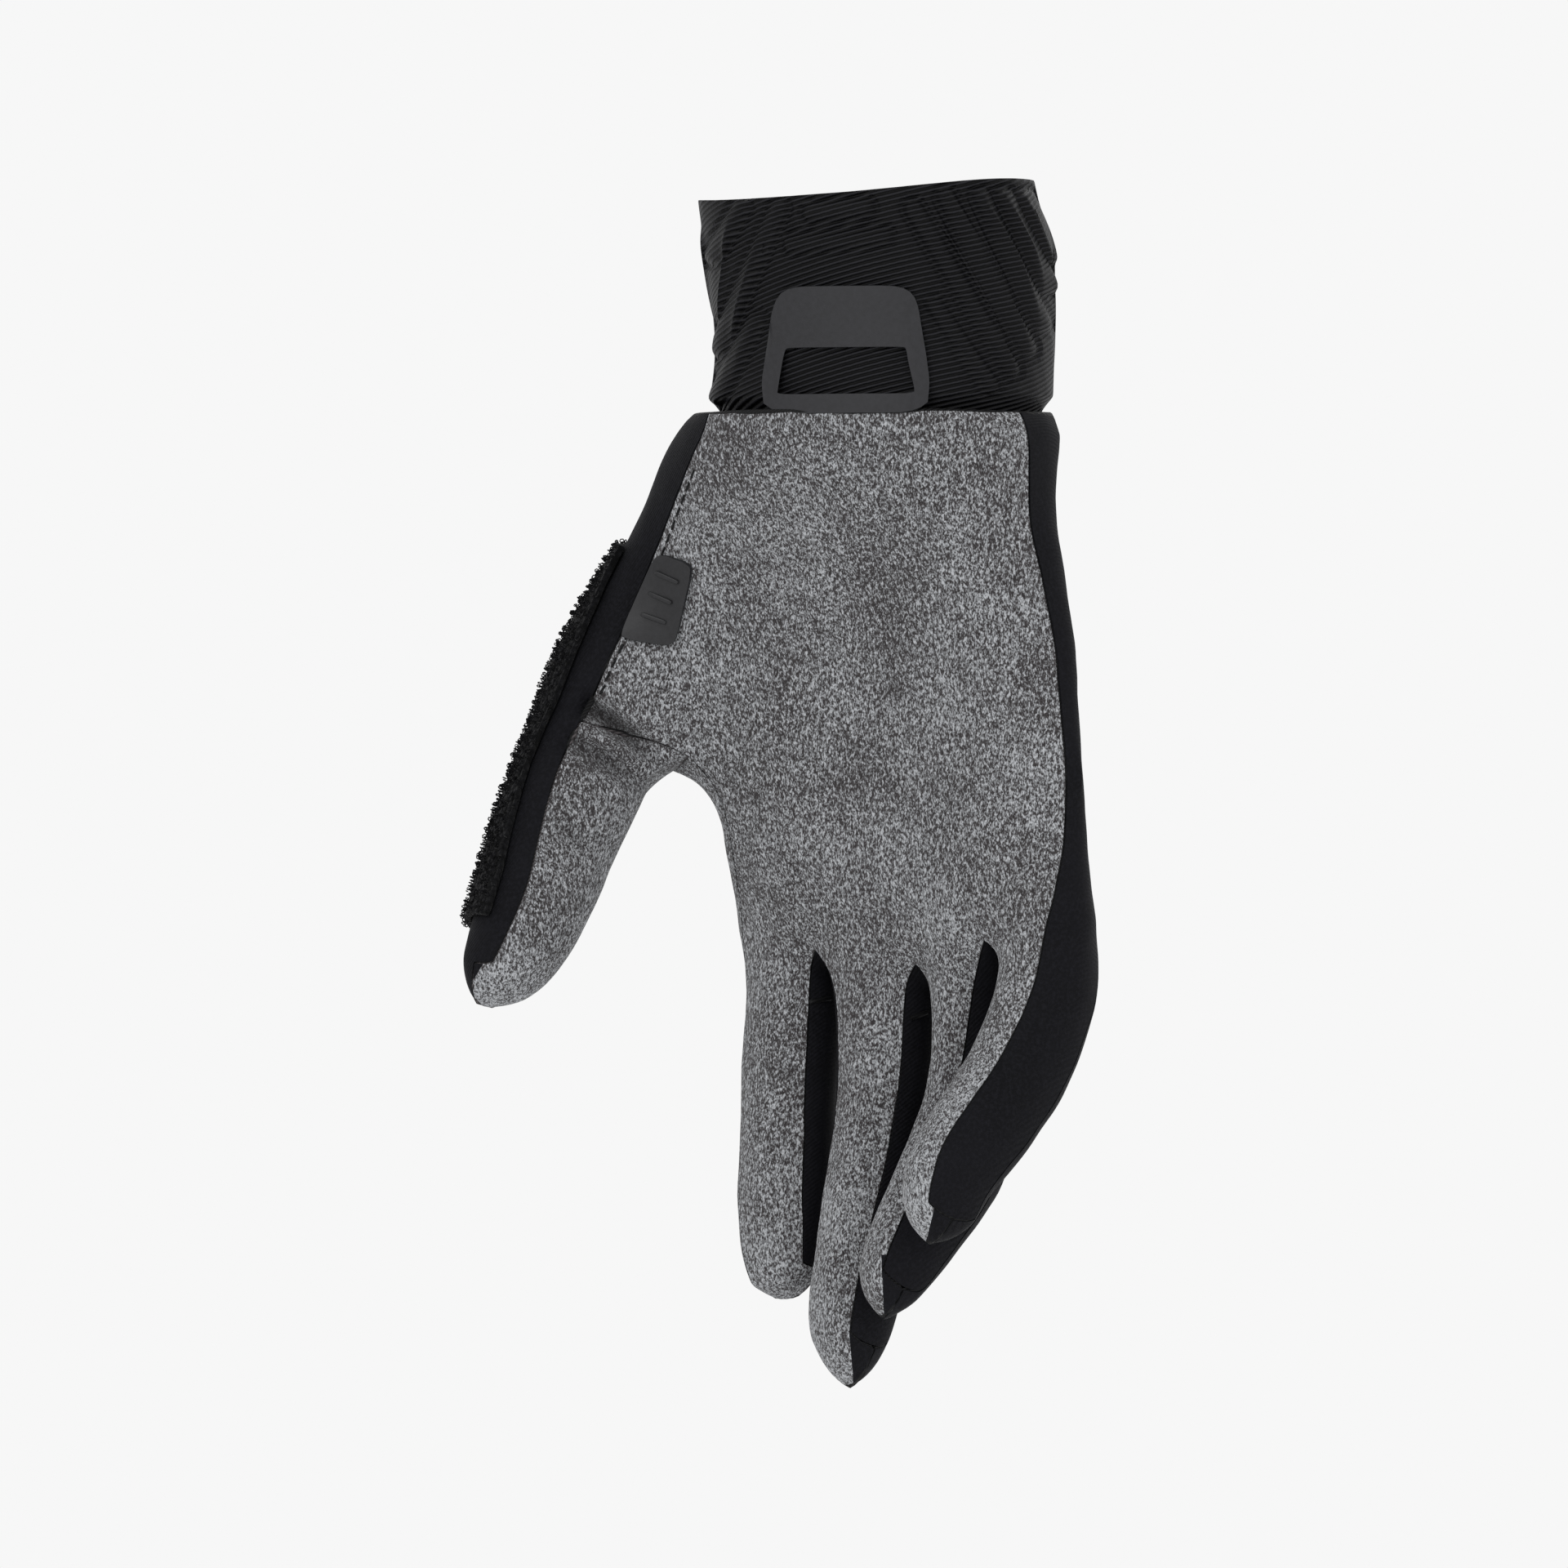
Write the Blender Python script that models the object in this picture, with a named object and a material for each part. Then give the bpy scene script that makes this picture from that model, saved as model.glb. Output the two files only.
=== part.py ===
"""A right-hand mountain bike glove with a long cuff, in the form that a hand gives it.

Metres, +Z up. The origin is the centre of the wrist mouth and the fingers hang down.
The palm faces -Y, turned so that its little-finger side comes forward, and the thumb
is at -X. Front view means the view along +Y, and every outline below is one in it.
"""

import math
from collections import namedtuple

import bmesh
import bpy
from mathutils import Vector
from mathutils.bvhtree import BVHTree

MM = 0.001

# Cuff: width is the front view's, depth is across it.
CUFF_LENGTH = 44.0 * MM
CUFF_WIDTH = 68.0 * MM
CUFF_DEPTH = 50.0 * MM
CUFF_WALL = 2.0 * MM
CUFF_TUCK = 1.8 * MM
MOUTH_TILT = 1.6 * MM
MOUTH_DIP = 1.7 * MM
RIB_WIDTH = 3.4 * MM
RIB_HEIGHT = 0.8 * MM

# Hand: the palm runs from the cuff's seam to the finger crotches.
PALM_LENGTH = 105.0 * MM
PALM_DEPTH = 30.0 * MM
FINGER_SPACING = 2.6 * MM
WEB_DROP = 6.0 * MM
THUMB_WEB_DROP = 2.5 * MM
# How far the hand's top edge stands out past the cuff, by the thumb and by the little finger.
THUMB_SHOULDER = 3.4 * MM
LITTLE_SHOULDER = 0.6 * MM

# Digits: each length runs from the crotch row to the tip.
INDEX_LENGTH = 72.6 * MM
INDEX_WIDTH = 17.2 * MM
INDEX_DEPTH = 18.6 * MM
MIDDLE_LENGTH = 89.5 * MM
MIDDLE_WIDTH = 23.8 * MM
MIDDLE_DEPTH = 20.4 * MM
RING_LENGTH = 81.0 * MM
RING_WIDTH = 16.2 * MM
RING_DEPTH = 22.4 * MM
LITTLE_LENGTH = 70.0 * MM
LITTLE_WIDTH = 16.6 * MM
LITTLE_DEPTH = 22.8 * MM
THUMB_LENGTH = 64.0 * MM
THUMB_WIDTH = 25.6 * MM
THUMB_DEPTH = 23.0 * MM

# Cloth and trim.
SUEDE_WALL = 1.3 * MM
SHELL_WALL = 1.3 * MM
SEAM_GAP = 0.3 * MM
CLEARANCE = 0.3 * MM
WIPE_WALL = 1.4 * MM
PATCH_WALL = 0.6 * MM
PATCH_WIDTH = 34.0 * MM
PATCH_LENGTH = 22.0 * MM
PATCH_BORDER = 2.4 * MM
PATCH_SILL = 1.8 * MM
TAB_WALL = 1.2 * MM
TAB_LENGTH = 18.8 * MM
TAB_REACH = 10.6 * MM

# The knuckle row carries the four fingers side by side.
FINGER_WIDTHS = (INDEX_WIDTH, MIDDLE_WIDTH, RING_WIDTH, LITTLE_WIDTH)
PALM_WIDTH = sum(FINGER_WIDTHS) + len(FINGER_WIDTHS) * FINGER_SPACING

# Ring exponents: 2 is an ellipse, and more is boxier.
CUFF_ROUNDNESS = 2.2
HAND_ROUNDNESS = 2.3

# Cage columns: 0 to 10 run from the thumb side to the little finger's side.
LAST_COLUMN = 10
THUMB_COLUMN = 2
SIDE_ANGLE = 125.0
LITTLE_SIDE_ANGLE = 130.0
# Where the palm's seams meet the cuff, by the thumb and by the little finger.
TOP_SEAMS = (-47.0, 66.0)
THUMB_SIDE_ANGLE = 103.0
INDEX_SEAM_ANGLE = 78.0

PANELS = (
    "palm_panel",
    "back_panel",
    "little_side_panel",
    "index_side_panel",
    "fourchette_index_middle",
    "fourchette_middle_ring",
    "fourchette_ring_little",
    "thumb_palm_panel",
    "thumb_back_panel",
)
PALM, BACK, LITTLE_SIDE, INDEX_SIDE = 0, 1, 2, 3
FOURCHETTES = (4, 5, 6)
THUMB_PALM, THUMB_BACK = 7, 8
# Added to a face's panel number where the terry wipe lies over it.
WIPE = 16

# Cuff outline: lengths are shares of CUFF_LENGTH, CUFF_WIDTH and CUFF_DEPTH.
CuffRow = namedtuple("CuffRow", "down left right turn depth")
CUFF_ROWS = (
    CuffRow(0.00, -0.490, 0.482, 18, 0.98),
    CuffRow(0.18, -0.474, 0.508, 18, 1.00),
    CuffRow(0.36, -0.458, 0.535, 18, 1.00),
    CuffRow(0.54, -0.448, 0.541, 18, 1.00),
    CuffRow(0.72, -0.436, 0.544, 19, 1.00),
    CuffRow(0.90, -0.452, 0.534, 20, 1.00),
    CuffRow(1.00, -0.461, 0.538, 20, 1.00),
)

# Quilted ribs of the cuff, by their angle at the mouth and their ends down its length.
Rib = namedtuple("Rib", "angle top bottom")
RIBS = (
    Rib(-164, 0.12, 0.60),
    Rib(-138, 0.12, 0.78),
    Rib(-112, 0.12, 0.88),
    Rib(-86, 0.10, 0.88),
    Rib(-62, 0.10, 0.86),
    Rib(-34, 0.08, 0.60),
    Rib(-17, 0.10, 0.74),
    Rib(-8, 0.58, 0.92),
    Rib(16, 0.50, 0.90),
    Rib(26, 0.10, 0.86),
    Rib(38, 0.06, 0.74),
    Rib(50, 0.06, 0.62),
    Rib(62, 0.06, 0.50),
    Rib(76, 0.06, 0.60),
    Rib(94, 0.10, 0.86),
    Rib(116, 0.12, 0.88),
    Rib(140, 0.12, 0.78),
)
# Short level ribs above the patch.
LevelRib = namedtuple("LevelRib", "down start end")
LEVEL_RIBS = (
    LevelRib(0.12, -8, 12),
    LevelRib(0.26, -12, 18),
)
CUFF_GRID = (0.0, 0.06, 0.12, 0.19, 0.26, 0.34, 0.48, 0.62, 0.76, 0.92)
CUFF_INNER_GRID = (0.0, 0.45, 0.9)
# The widest steps between columns, in degrees, at the mouth and where they fan out.
COLUMN_STEP = 12.0
FAN_STEP = 19.0
# How far round, in degrees, a rib leans over the cuff's whole length.
RIB_LEAN = 46.0
RIB_LEAN_START = 22.0
# The share of the cuff's length over which a rib rises at its ends.
RIB_END = 0.08
PATCH_ANGLE = 6.0
MOUTH_DIP_TURN = 15.0

# Hand outline: drop, rise are shares of PALM_LENGTH; the front view's places are
# shares of PALM_WIDTH; depth (half), arch and back are shares of PALM_DEPTH.
HandRow = namedtuple(
    "HandRow", "drop rise left right turn depth arch back seam_left seam_right wipe_edge"
)
WHOLE_ROWS = (
    HandRow(0.036, 0.000, -0.470, 0.474, 22, 0.817, 0.00, 0.00, -0.372, 0.372, None),
    HandRow(0.155, 0.021, -0.508, 0.425, 25, 0.693, 0.10, 0.03, -0.448, 0.367, None),
    HandRow(0.293, 0.053, -0.578, 0.466, 25, 0.583, 0.23, 0.17, -0.489, 0.397, -0.557),
    HandRow(0.430, 0.084, -0.668, 0.487, 24, 0.533, 0.40, 0.27, -0.552, 0.437, -0.623),
    HandRow(0.559, 0.114, -0.754, 0.490, 22, 0.500, 0.57, 0.33, -0.617, 0.459, -0.674),
    HandRow(0.681, 0.130, -0.780, 0.503, 22, 0.483, 0.63, 0.33, -0.676, 0.465, -0.726),
)
FINGER_ROWS = (
    HandRow(0.754, 0.027, -0.337, 0.508, 30, 0.483, 0.33, 0.09, None, 0.463, None),
    HandRow(0.826, 0.000, -0.318, 0.515, 33, 0.467, 0.30, 0.05, None, 0.452, None),
    HandRow(0.910, 0.000, -0.301, 0.530, 36, 0.467, 0.25, 0.07, None, 0.424, None),
    HandRow(0.990, 0.000, -0.291, 0.538, 38, 0.450, 0.20, 0.10, None, 0.393, None),
)
# The thumb's side of a row rises by this power of the way across.
RISE_POWER = 3.0
# How much of the half depth is left at the thumb's web, by column, on the last rows.
WEB_PINCH = {1: 0.90, 2: 0.60, 3: 0.85}
PINCH_BY_ROW = (0.0, 0.0, 0.0, 0.0, 0.25, 0.6, 1.0)
DORSAL_SHIFT = (0.0, 0.0, 0.02, 0.05, 0.09, 0.12, 0.14)
# How far the columns have moved from even steps to the fingers' own places.
KNUCKLE_BLEND = (0.3, 0.6, 0.85, 1.0)
# The knuckle row's drop at columns 2 to 10, as shares of PALM_LENGTH.
KNUCKLE_DROPS = (-0.005, 0.0, 0.004, 0.012, 0.034, 0.005, -0.026, -0.020, -0.020)
KNUCKLE_BACK_RISE = 0.035
# The crotches' places in the knuckle row, counted from column 2.
CROTCHES = (2, 4, 6)
CROTCH_DEPTH = 0.85

# Digits: along is a share of the length; slant leans to -X and forward to -Y, in
# degrees, on the way to each ring; width and depth are shares of the digit's own.
DigitRow = namedtuple("DigitRow", "along slant forward turn width depth")
Digit = namedtuple("Digit", "length width depth rows")
INDEX = Digit(
    INDEX_LENGTH,
    INDEX_WIDTH,
    INDEX_DEPTH,
    (
        DigitRow(0.10, 8, 4, 32, 1.20, 0.98),
        DigitRow(0.31, 4, 7, 31, 1.19, 0.96),
        DigitRow(0.55, 3, 8, 28, 1.17, 0.96),
        DigitRow(0.78, 4, 9, 21, 1.13, 0.88),
        DigitRow(0.93, -5, 9, 17, 0.92, 0.70),
        DigitRow(1.00, -36, 9, 17, 0.0, 0.0),
    ),
)
MIDDLE = Digit(
    MIDDLE_LENGTH,
    MIDDLE_WIDTH,
    MIDDLE_DEPTH,
    (
        DigitRow(0.09, 6, 4, 28, 0.88, 0.98),
        DigitRow(0.28, -1, 6, 30, 0.86, 0.96),
        DigitRow(0.49, 7, 6, 35, 0.83, 0.96),
        DigitRow(0.71, 11, 8, 44, 0.82, 0.94),
        DigitRow(0.90, 8, 8, 48, 0.76, 0.80),
        DigitRow(1.00, -6, 9, 48, 0.0, 0.0),
    ),
)
RING = Digit(
    RING_LENGTH,
    RING_WIDTH,
    RING_DEPTH,
    (
        DigitRow(0.09, -2, -8, 46, 1.00, 0.94),
        DigitRow(0.27, -4, 0, 58, 0.97, 0.98),
        DigitRow(0.44, 10, 10, 62, 0.97, 1.00),
        DigitRow(0.59, 24, 17, 62, 0.96, 1.00),
        DigitRow(0.76, 33, 21, 62, 0.94, 0.82),
        DigitRow(0.90, 28, 18, 60, 0.86, 0.63),
        DigitRow(1.00, 6, 6, 60, 0.0, 0.0),
    ),
)
LITTLE = Digit(
    LITTLE_LENGTH,
    LITTLE_WIDTH,
    LITTLE_DEPTH,
    (
        DigitRow(0.12, 8, 10, 53, 1.04, 0.98),
        DigitRow(0.28, 16, 12, 58, 1.02, 0.97),
        DigitRow(0.44, 25, 14, 62, 1.00, 0.95),
        DigitRow(0.62, 37, 22, 63, 1.00, 0.94),
        DigitRow(0.77, 38, 23, 62, 0.98, 0.84),
        DigitRow(0.90, 11, 8, 60, 0.90, 0.72),
        DigitRow(1.00, 18, 6, 60, 0.0, 0.0),
    ),
)
THUMB = Digit(
    THUMB_LENGTH,
    THUMB_WIDTH,
    THUMB_DEPTH,
    (
        DigitRow(0.20, 31, 6, -24, 1.02, 1.00),
        DigitRow(0.42, 20, 16, -30, 0.97, 0.97),
        DigitRow(0.59, 19, 18, -34, 0.92, 0.95),
        DigitRow(0.74, 24, 20, -36, 0.84, 0.86),
        DigitRow(0.89, 34, 20, -38, 0.64, 0.62),
        DigitRow(1.00, 34, 18, -38, 0.0, 0.0),
    ),
)
# The ring angles of a digit from its palm side, towards the little finger.
FINGER_ANGLES = (-45, 0, 45, 90, 135, 180, 225, 270)
INDEX_ANGLES = (-66, -8, 45, 90, 135, 180, 222, 260)
THUMB_ANGLES = (-45, 2, 50, 98, 150, 205, 252, 290)
# Rings that carry the wipe, counted down the thumb.
WIPE_ROWS = 4
# A smoothed cage pulls its tip back, so the tip is set further out by this share.
TIP_REACH = 0.7

# At a panel's corner its two edges' moves add up: below the first sum they oppose each
# other and the corner is pulled in by the second; the third keeps other moves short.
SHARP_CORNER = 0.3
CORNER_PULL = 3.0
CORNER_LIMIT = 0.35

# Folds pressed into the palm side, from start to end in the front view: across is a
# share of PALM_WIDTH, down of PALM_LENGTH, depth of PALM_DEPTH, spread of PALM_WIDTH.
Fold = namedtuple("Fold", "across_a down_a across_b down_b depth spread")
FOLD_FACING = 0.2
FOLD_REACH = 3.0
FOLDS = (
    Fold(-0.630, 0.545, -0.485, 0.640, 0.090, 0.040),
    Fold(-0.610, 0.630, -0.490, 0.690, 0.070, 0.035),
    Fold(-0.700, 0.780, -0.640, 0.820, 0.040, 0.040),
    Fold(-0.560, 0.610, -0.520, 0.650, -0.040, 0.030),
    Fold(0.200, 0.900, 0.280, 1.020, -0.030, 0.030),
)

# Patch, seen from the front, in shares of CUFF_WIDTH and of the patch's own sizes.
PATCH_ACROSS = -0.066
PATCH_TAPER = 0.80
PATCH_RADIUS = 0.11 * PATCH_WIDTH
WINDOW_TOP = 0.47
WINDOW_TAPER = 0.87
WINDOW_RADIUS = 0.02 * PATCH_WIDTH

# Tab, seen from the front: across is a share of PALM_WIDTH, down of PALM_LENGTH.
TAB_ACROSS = -0.530
TAB_DOWN = 0.3375
TAB_TILT = 24.6
TAB_RADIUS = 0.1 * TAB_LENGTH
# The tab's corners: along and out from the middle of its sewn edge, as shares.
TAB_CORNERS = ((-0.50, 0.0), (0.50, 0.0), (0.33, 1.0), (-0.54, 0.71))

COLOURS = {
    "suede": ((0.140, 0.133, 0.130), 0.95),
    "softshell": ((0.012, 0.012, 0.014), 0.80),
    "twill": ((0.016, 0.016, 0.020), 0.75),
    "terry": ((0.010, 0.010, 0.012), 1.00),
    "film": ((0.062, 0.062, 0.066), 0.45),
    "rubber": ((0.045, 0.045, 0.048), 0.50),
}


def make_material(name):
    colour, roughness = COLOURS[name]
    material = bpy.data.materials.new(name)
    material.use_nodes = True
    shader = material.node_tree.nodes["Principled BSDF"]
    shader.inputs["Base Color"].default_value = (*colour, 1.0)
    shader.inputs["Roughness"].default_value = roughness
    shader.inputs["Metallic"].default_value = 0.0
    return material


def add_object(name, mesh_data, material):
    """A visible object from a bmesh, which is freed."""
    mesh = bpy.data.meshes.new(name)
    mesh_data.to_mesh(mesh)
    mesh_data.free()
    mesh.shade_smooth()
    mesh.set_sharp_from_angle(angle=math.radians(50))
    mesh.materials.append(material)
    piece = bpy.data.objects.new(name, mesh)
    bpy.context.scene.collection.objects.link(piece)
    return piece


def smooth_step(value):
    value = min(max(value, 0.0), 1.0)
    return value * value * (3.0 - 2.0 * value)


def signed_power(value, power):
    return math.copysign(abs(value) ** power, value)


class Section:
    """One cross-section of the cuff or hand: a rounded ring on an arched middle line."""

    def __init__(self, left, right, turn, half_depth, arch, back, roundness):
        self.turn = math.radians(turn)
        self.half_depth = half_depth
        self.arch = arch
        self.back = back
        self.roundness = roundness
        self.centre = 0.5 * (left + right)
        self.half_width = 0.5 * (right - left)
        for _ in range(12):
            across = [self.point(angle).x for angle in range(0, 360, 3)]
            self.half_width *= (right - left) / (max(across) - min(across))
            self.centre += 0.5 * (left + right - max(across) - min(across))

    def place(self, side, lift):
        """The point at a share of the half width and a share of the half depth."""
        run = side * self.half_width
        slope = 2.0 * self.arch * side / self.half_width
        length = math.hypot(1.0, slope)
        offset = lift * self.half_depth
        across = run - slope / length * offset
        toward = self.arch * side * side + offset / length
        return Vector(
            (
                self.centre + across * math.cos(self.turn) - toward * math.sin(self.turn),
                self.back - across * math.sin(self.turn) - toward * math.cos(self.turn),
                0.0,
            )
        )

    def side(self, angle):
        return signed_power(math.sin(math.radians(angle)), 2.0 / self.roundness)

    def lift(self, angle):
        return signed_power(math.cos(math.radians(angle)), 2.0 / self.roundness)

    def point(self, angle):
        """The point at an angle from the palm side, towards the little finger."""
        return self.place(self.side(angle), self.lift(angle))

    def angle_at(self, across):
        """The angle of the palm side's point that the front view shows at across."""
        angles = [step * 0.5 for step in range(-220, 241)]
        places = [self.point(angle).x for angle in angles]
        first = places.index(min(places))
        for index in range(first, len(angles)):
            if places[index] >= across:
                return angles[index]
        return angles[-1]

    def lift_at(self, side):
        """The share of the half depth at a share of the half width."""
        return max(1.0 - abs(side) ** self.roundness, 0.0) ** (1.0 / self.roundness)


def sharpened(points):
    """A closed ring of cage points moved out, so that its smoothed ring fits them."""
    count = len(points)
    return [
        points[i] * (4.0 / 3.0) - (points[i - 1] + points[(i + 1) % count]) / 6.0
        for i in range(count)
    ]


# Cuff


def cuff_shares(down):
    """The cuff's outline at a share of its length, read between the table's rows."""
    for upper, lower in zip(CUFF_ROWS, CUFF_ROWS[1:]):
        if down <= lower.down:
            break
    way = min(max((down - upper.down) / (lower.down - upper.down), 0.0), 1.0)
    return [a + (b - a) * way for a, b in zip(upper, lower)]


def cuff_section(down, inset=0.0, more_left=0.0, more_right=0.0):
    _, left, right, turn, depth = cuff_shares(down)
    return Section(
        left * CUFF_WIDTH + inset - more_left,
        right * CUFF_WIDTH - inset + more_right,
        turn,
        0.5 * depth * CUFF_DEPTH - inset,
        0.0,
        0.0,
        CUFF_ROUNDNESS,
    )


def lean(angle):
    """How far round the column that starts at this angle has moved at the cuff's end."""
    way = (angle - PATCH_ANGLE) / (RIB_LEAN_START - PATCH_ANGLE)
    size = smooth_step(abs(way)) * smooth_step((180.0 - abs(angle)) / 90.0)
    return math.copysign(RIB_LEAN * size, way)


def cuff_columns():
    """The mouth angles of the cuff's columns: three for a rib, and plain ones between."""
    half = math.degrees(0.5 * RIB_WIDTH / (0.5 * CUFF_WIDTH))
    columns = []
    for rib in RIBS:
        columns += [rib.angle - half, rib.angle, rib.angle + half]
    fixed = sorted(columns)
    for start, end in zip(fixed, fixed[1:] + [fixed[0] + 360.0]):
        fanned = (end + lean(end) - start - lean(start)) / FAN_STEP if end < 180.0 else 0.0
        spare = int(max((end - start) / COLUMN_STEP, fanned))
        columns += [start + (end - start) * (i + 1) / (spare + 1) for i in range(spare)]
    return sorted(columns)


def rib_height(angle, down):
    for rib in RIBS:
        if angle == rib.angle:
            head = smooth_step((down - rib.top) / RIB_END)
            foot = smooth_step((rib.bottom - down) / RIB_END)
            return RIB_HEIGHT * head * foot
    for rib in LEVEL_RIBS:
        if down == rib.down and rib.start <= angle <= rib.end:
            return RIB_HEIGHT
    return 0.0


def cuff_point(section, angle, down, out=0.0):
    turned = angle + lean(angle) * down
    point = section.point(turned)
    ahead = section.point(turned + 1.0) - section.point(turned - 1.0)
    outward = Vector((ahead.y, -ahead.x, 0.0)).normalized()
    point += outward * out
    tilt = MOUTH_TILT * math.sin(math.radians(turned))
    dip = MOUTH_DIP * max(math.cos(math.radians(turned + MOUTH_DIP_TURN)), 0.0) ** 2
    point.z = (tilt - dip) * (1.0 - down) - down * CUFF_LENGTH
    return point


def loft(mesh, loops):
    """Joins closed loops of vertices, each the same length, with quads."""
    for upper, lower in zip(loops, loops[1:]):
        count = len(upper)
        for i in range(count):
            j = (i + 1) % count
            mesh.faces.new((upper[i], lower[i], lower[j], upper[j]))


def cuff_mesh():
    columns = cuff_columns()
    lap = SHELL_WALL + 5.0 * CLEARANCE
    tuck = CUFF_TUCK / CUFF_LENGTH
    clear = CLEARANCE / CUFF_LENGTH
    mesh = bmesh.new()
    loops = []

    def add_loop(down, inset, ribbed):
        section = cuff_section(min(down, 1.0), inset)
        loops.append(
            [
                mesh.verts.new(
                    cuff_point(section, angle, down, rib_height(angle, down) if ribbed else 0.0)
                )
                for angle in columns
            ]
        )

    for down in CUFF_GRID:
        add_loop(down, 0.0, True)
    add_loop(1.0 - clear - lap / CUFF_LENGTH, 0.0, False)
    add_loop(1.0 - clear, lap, False)
    add_loop(1.0 + tuck, lap, False)
    add_loop(1.0 + tuck, lap + CUFF_WALL, False)
    for down in reversed(CUFF_INNER_GRID):
        add_loop(down, CUFF_WALL if down < 0.7 else lap + CUFF_WALL, False)
    loft(mesh, loops + loops[:1])
    return mesh


# Hand cage


class Cage:
    """The smooth surface's cage: its vertices, and its faces with their panels."""

    def __init__(self):
        self.mesh = bmesh.new()

    def ring(self, points):
        return [self.mesh.verts.new(point) for point in points]

    def join(self, upper, lower, panels):
        """Quads between two rings, one for each cell, with their panels."""
        count = len(upper)
        for i in range(count):
            j = (i + 1) % count
            face = self.mesh.faces.new((upper[i], lower[i], lower[j], upper[j]))
            face.material_index = panels[i]

    def cap(self, ring, centre, panels):
        """Four quads over a ring of eight, round a centre."""
        tip = self.mesh.verts.new(centre)
        for index, panel in enumerate(panels):
            a, b, c = (ring[(2 * index + step - 1) % 8] for step in range(3))
            face = self.mesh.faces.new((a, tip, c, b))
            face.material_index = panel


def hand_section(row):
    return Section(
        row.left * PALM_WIDTH,
        row.right * PALM_WIDTH,
        row.turn,
        row.depth * PALM_DEPTH,
        row.arch * PALM_DEPTH,
        row.back * PALM_DEPTH,
        HAND_ROUNDNESS,
    )


def row_height(row, side):
    way = 0.5 * (1.0 - side)
    return -CUFF_LENGTH - PALM_LENGTH * (row.drop - row.rise * way**RISE_POWER)


def even_sides(start, end, count):
    return [start + (end - start) * i / (count - 1) for i in range(count)]


def knuckle_sides(start, end):
    """The sides of columns 2 to 10 where each finger takes its share of the row."""
    sides = [start]
    reached = 0.0
    for width in FINGER_WIDTHS:
        share = (width + FINGER_SPACING) / PALM_WIDTH
        sides.append(-1.0 + 2.0 * (reached + 0.5 * share))
        reached += share
        sides.append(-1.0 + 2.0 * reached)
    sides[-1] = end
    return sides


def lowered(section, side, lift, height):
    point = section.place(side, lift)
    point.z = height
    return point


def whole_ring(section, row, number):
    """The 24 points of a row above the thumb's web, and its web point."""
    if number == 0:
        seam_left, seam_right = TOP_SEAMS
    else:
        seam_left = section.angle_at(row.seam_left * PALM_WIDTH)
        seam_right = section.angle_at(row.seam_right * PALM_WIDTH)
    pinch = PINCH_BY_ROW[number]
    palm = even_sides(section.side(seam_left), section.side(seam_right), LAST_COLUMN + 1)
    back_left = section.side(-THUMB_SIDE_ANGLE)
    web = palm[THUMB_COLUMN] - DORSAL_SHIFT[number]
    back = even_sides(back_left, web, THUMB_COLUMN + 1)[:-1]
    back += even_sides(web, section.side(LITTLE_SIDE_ANGLE), LAST_COLUMN + 1 - THUMB_COLUMN)

    def lift(column, side):
        kept = WEB_PINCH.get(column, 1.0)
        return section.lift_at(side) * (1.0 - pinch * (1.0 - kept))

    front_points = [
        lowered(section, side, lift(i, side), row_height(row, side))
        for i, side in enumerate(palm)
    ]
    back_points = [
        lowered(section, side, -lift(i, side), row_height(row, side))
        for i, side in enumerate(back)
    ]
    ulnar = section.point(0.5 * (seam_right + LITTLE_SIDE_ANGLE))
    ulnar.z = row_height(row, 1.0)
    if row.wipe_edge is None:
        radial_angle = 0.5 * (seam_left - THUMB_SIDE_ANGLE)
    else:
        radial_angle = section.angle_at(row.wipe_edge * PALM_WIDTH)
    radial = section.point(radial_angle)
    radial.z = row_height(row, section.side(radial_angle))
    return front_points, ulnar, back_points, radial


def finger_ring(row, number):
    """The 20 points of a row below the thumb's web, from column 2 on."""
    section = hand_section(row)
    seam_right = section.angle_at(row.seam_right * PALM_WIDTH)
    start = section.side(-INDEX_SEAM_ANGLE)
    blend = KNUCKLE_BLEND[number]
    knuckle_row = number == len(FINGER_ROWS) - 1

    def sides(first, last):
        even = even_sides(first, last, LAST_COLUMN + 1 - THUMB_COLUMN)
        own = knuckle_sides(first, last)
        return [a + (b - a) * blend for a, b in zip(even, own)]

    def points(places, face):
        made = []
        for i, side in enumerate(places):
            lift = face * section.lift_at(side)
            height = row_height(row, side)
            if knuckle_row:
                height -= KNUCKLE_DROPS[i] * PALM_LENGTH
                if face < 0:
                    height += KNUCKLE_BACK_RISE * PALM_LENGTH
                if i in CROTCHES:
                    lift *= CROTCH_DEPTH
            made.append(lowered(section, side, lift, height))
        return made

    palm = sides(start, section.side(seam_right))
    back = sides(section.side(-SIDE_ANGLE), section.side(LITTLE_SIDE_ANGLE))
    ulnar = section.point(0.5 * (seam_right + LITTLE_SIDE_ANGLE))
    ulnar.z = row_height(row, 1.0)
    radial = section.point(-90.0)
    radial.z = row_height(row, -1.0)
    if knuckle_row:
        ulnar.z -= KNUCKLE_DROPS[-1] * PALM_LENGTH
    return points(palm, 1.0), ulnar, points(back, -1.0), radial


def digit_frame(row, direction):
    """The palm-side and sideways axes of a digit's ring."""
    turn = math.radians(row.turn)
    palm = Vector((-math.sin(turn), -math.cos(turn), 0.0))
    palm = (palm - direction * palm.dot(direction)).normalized()
    return palm, palm.cross(direction)


def leaning(row):
    """The downward direction that the front and side views show."""
    slant = math.tan(math.radians(row.slant))
    forward = math.tan(math.radians(row.forward))
    return Vector((-slant, -forward, -1.0)).normalized()


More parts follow.
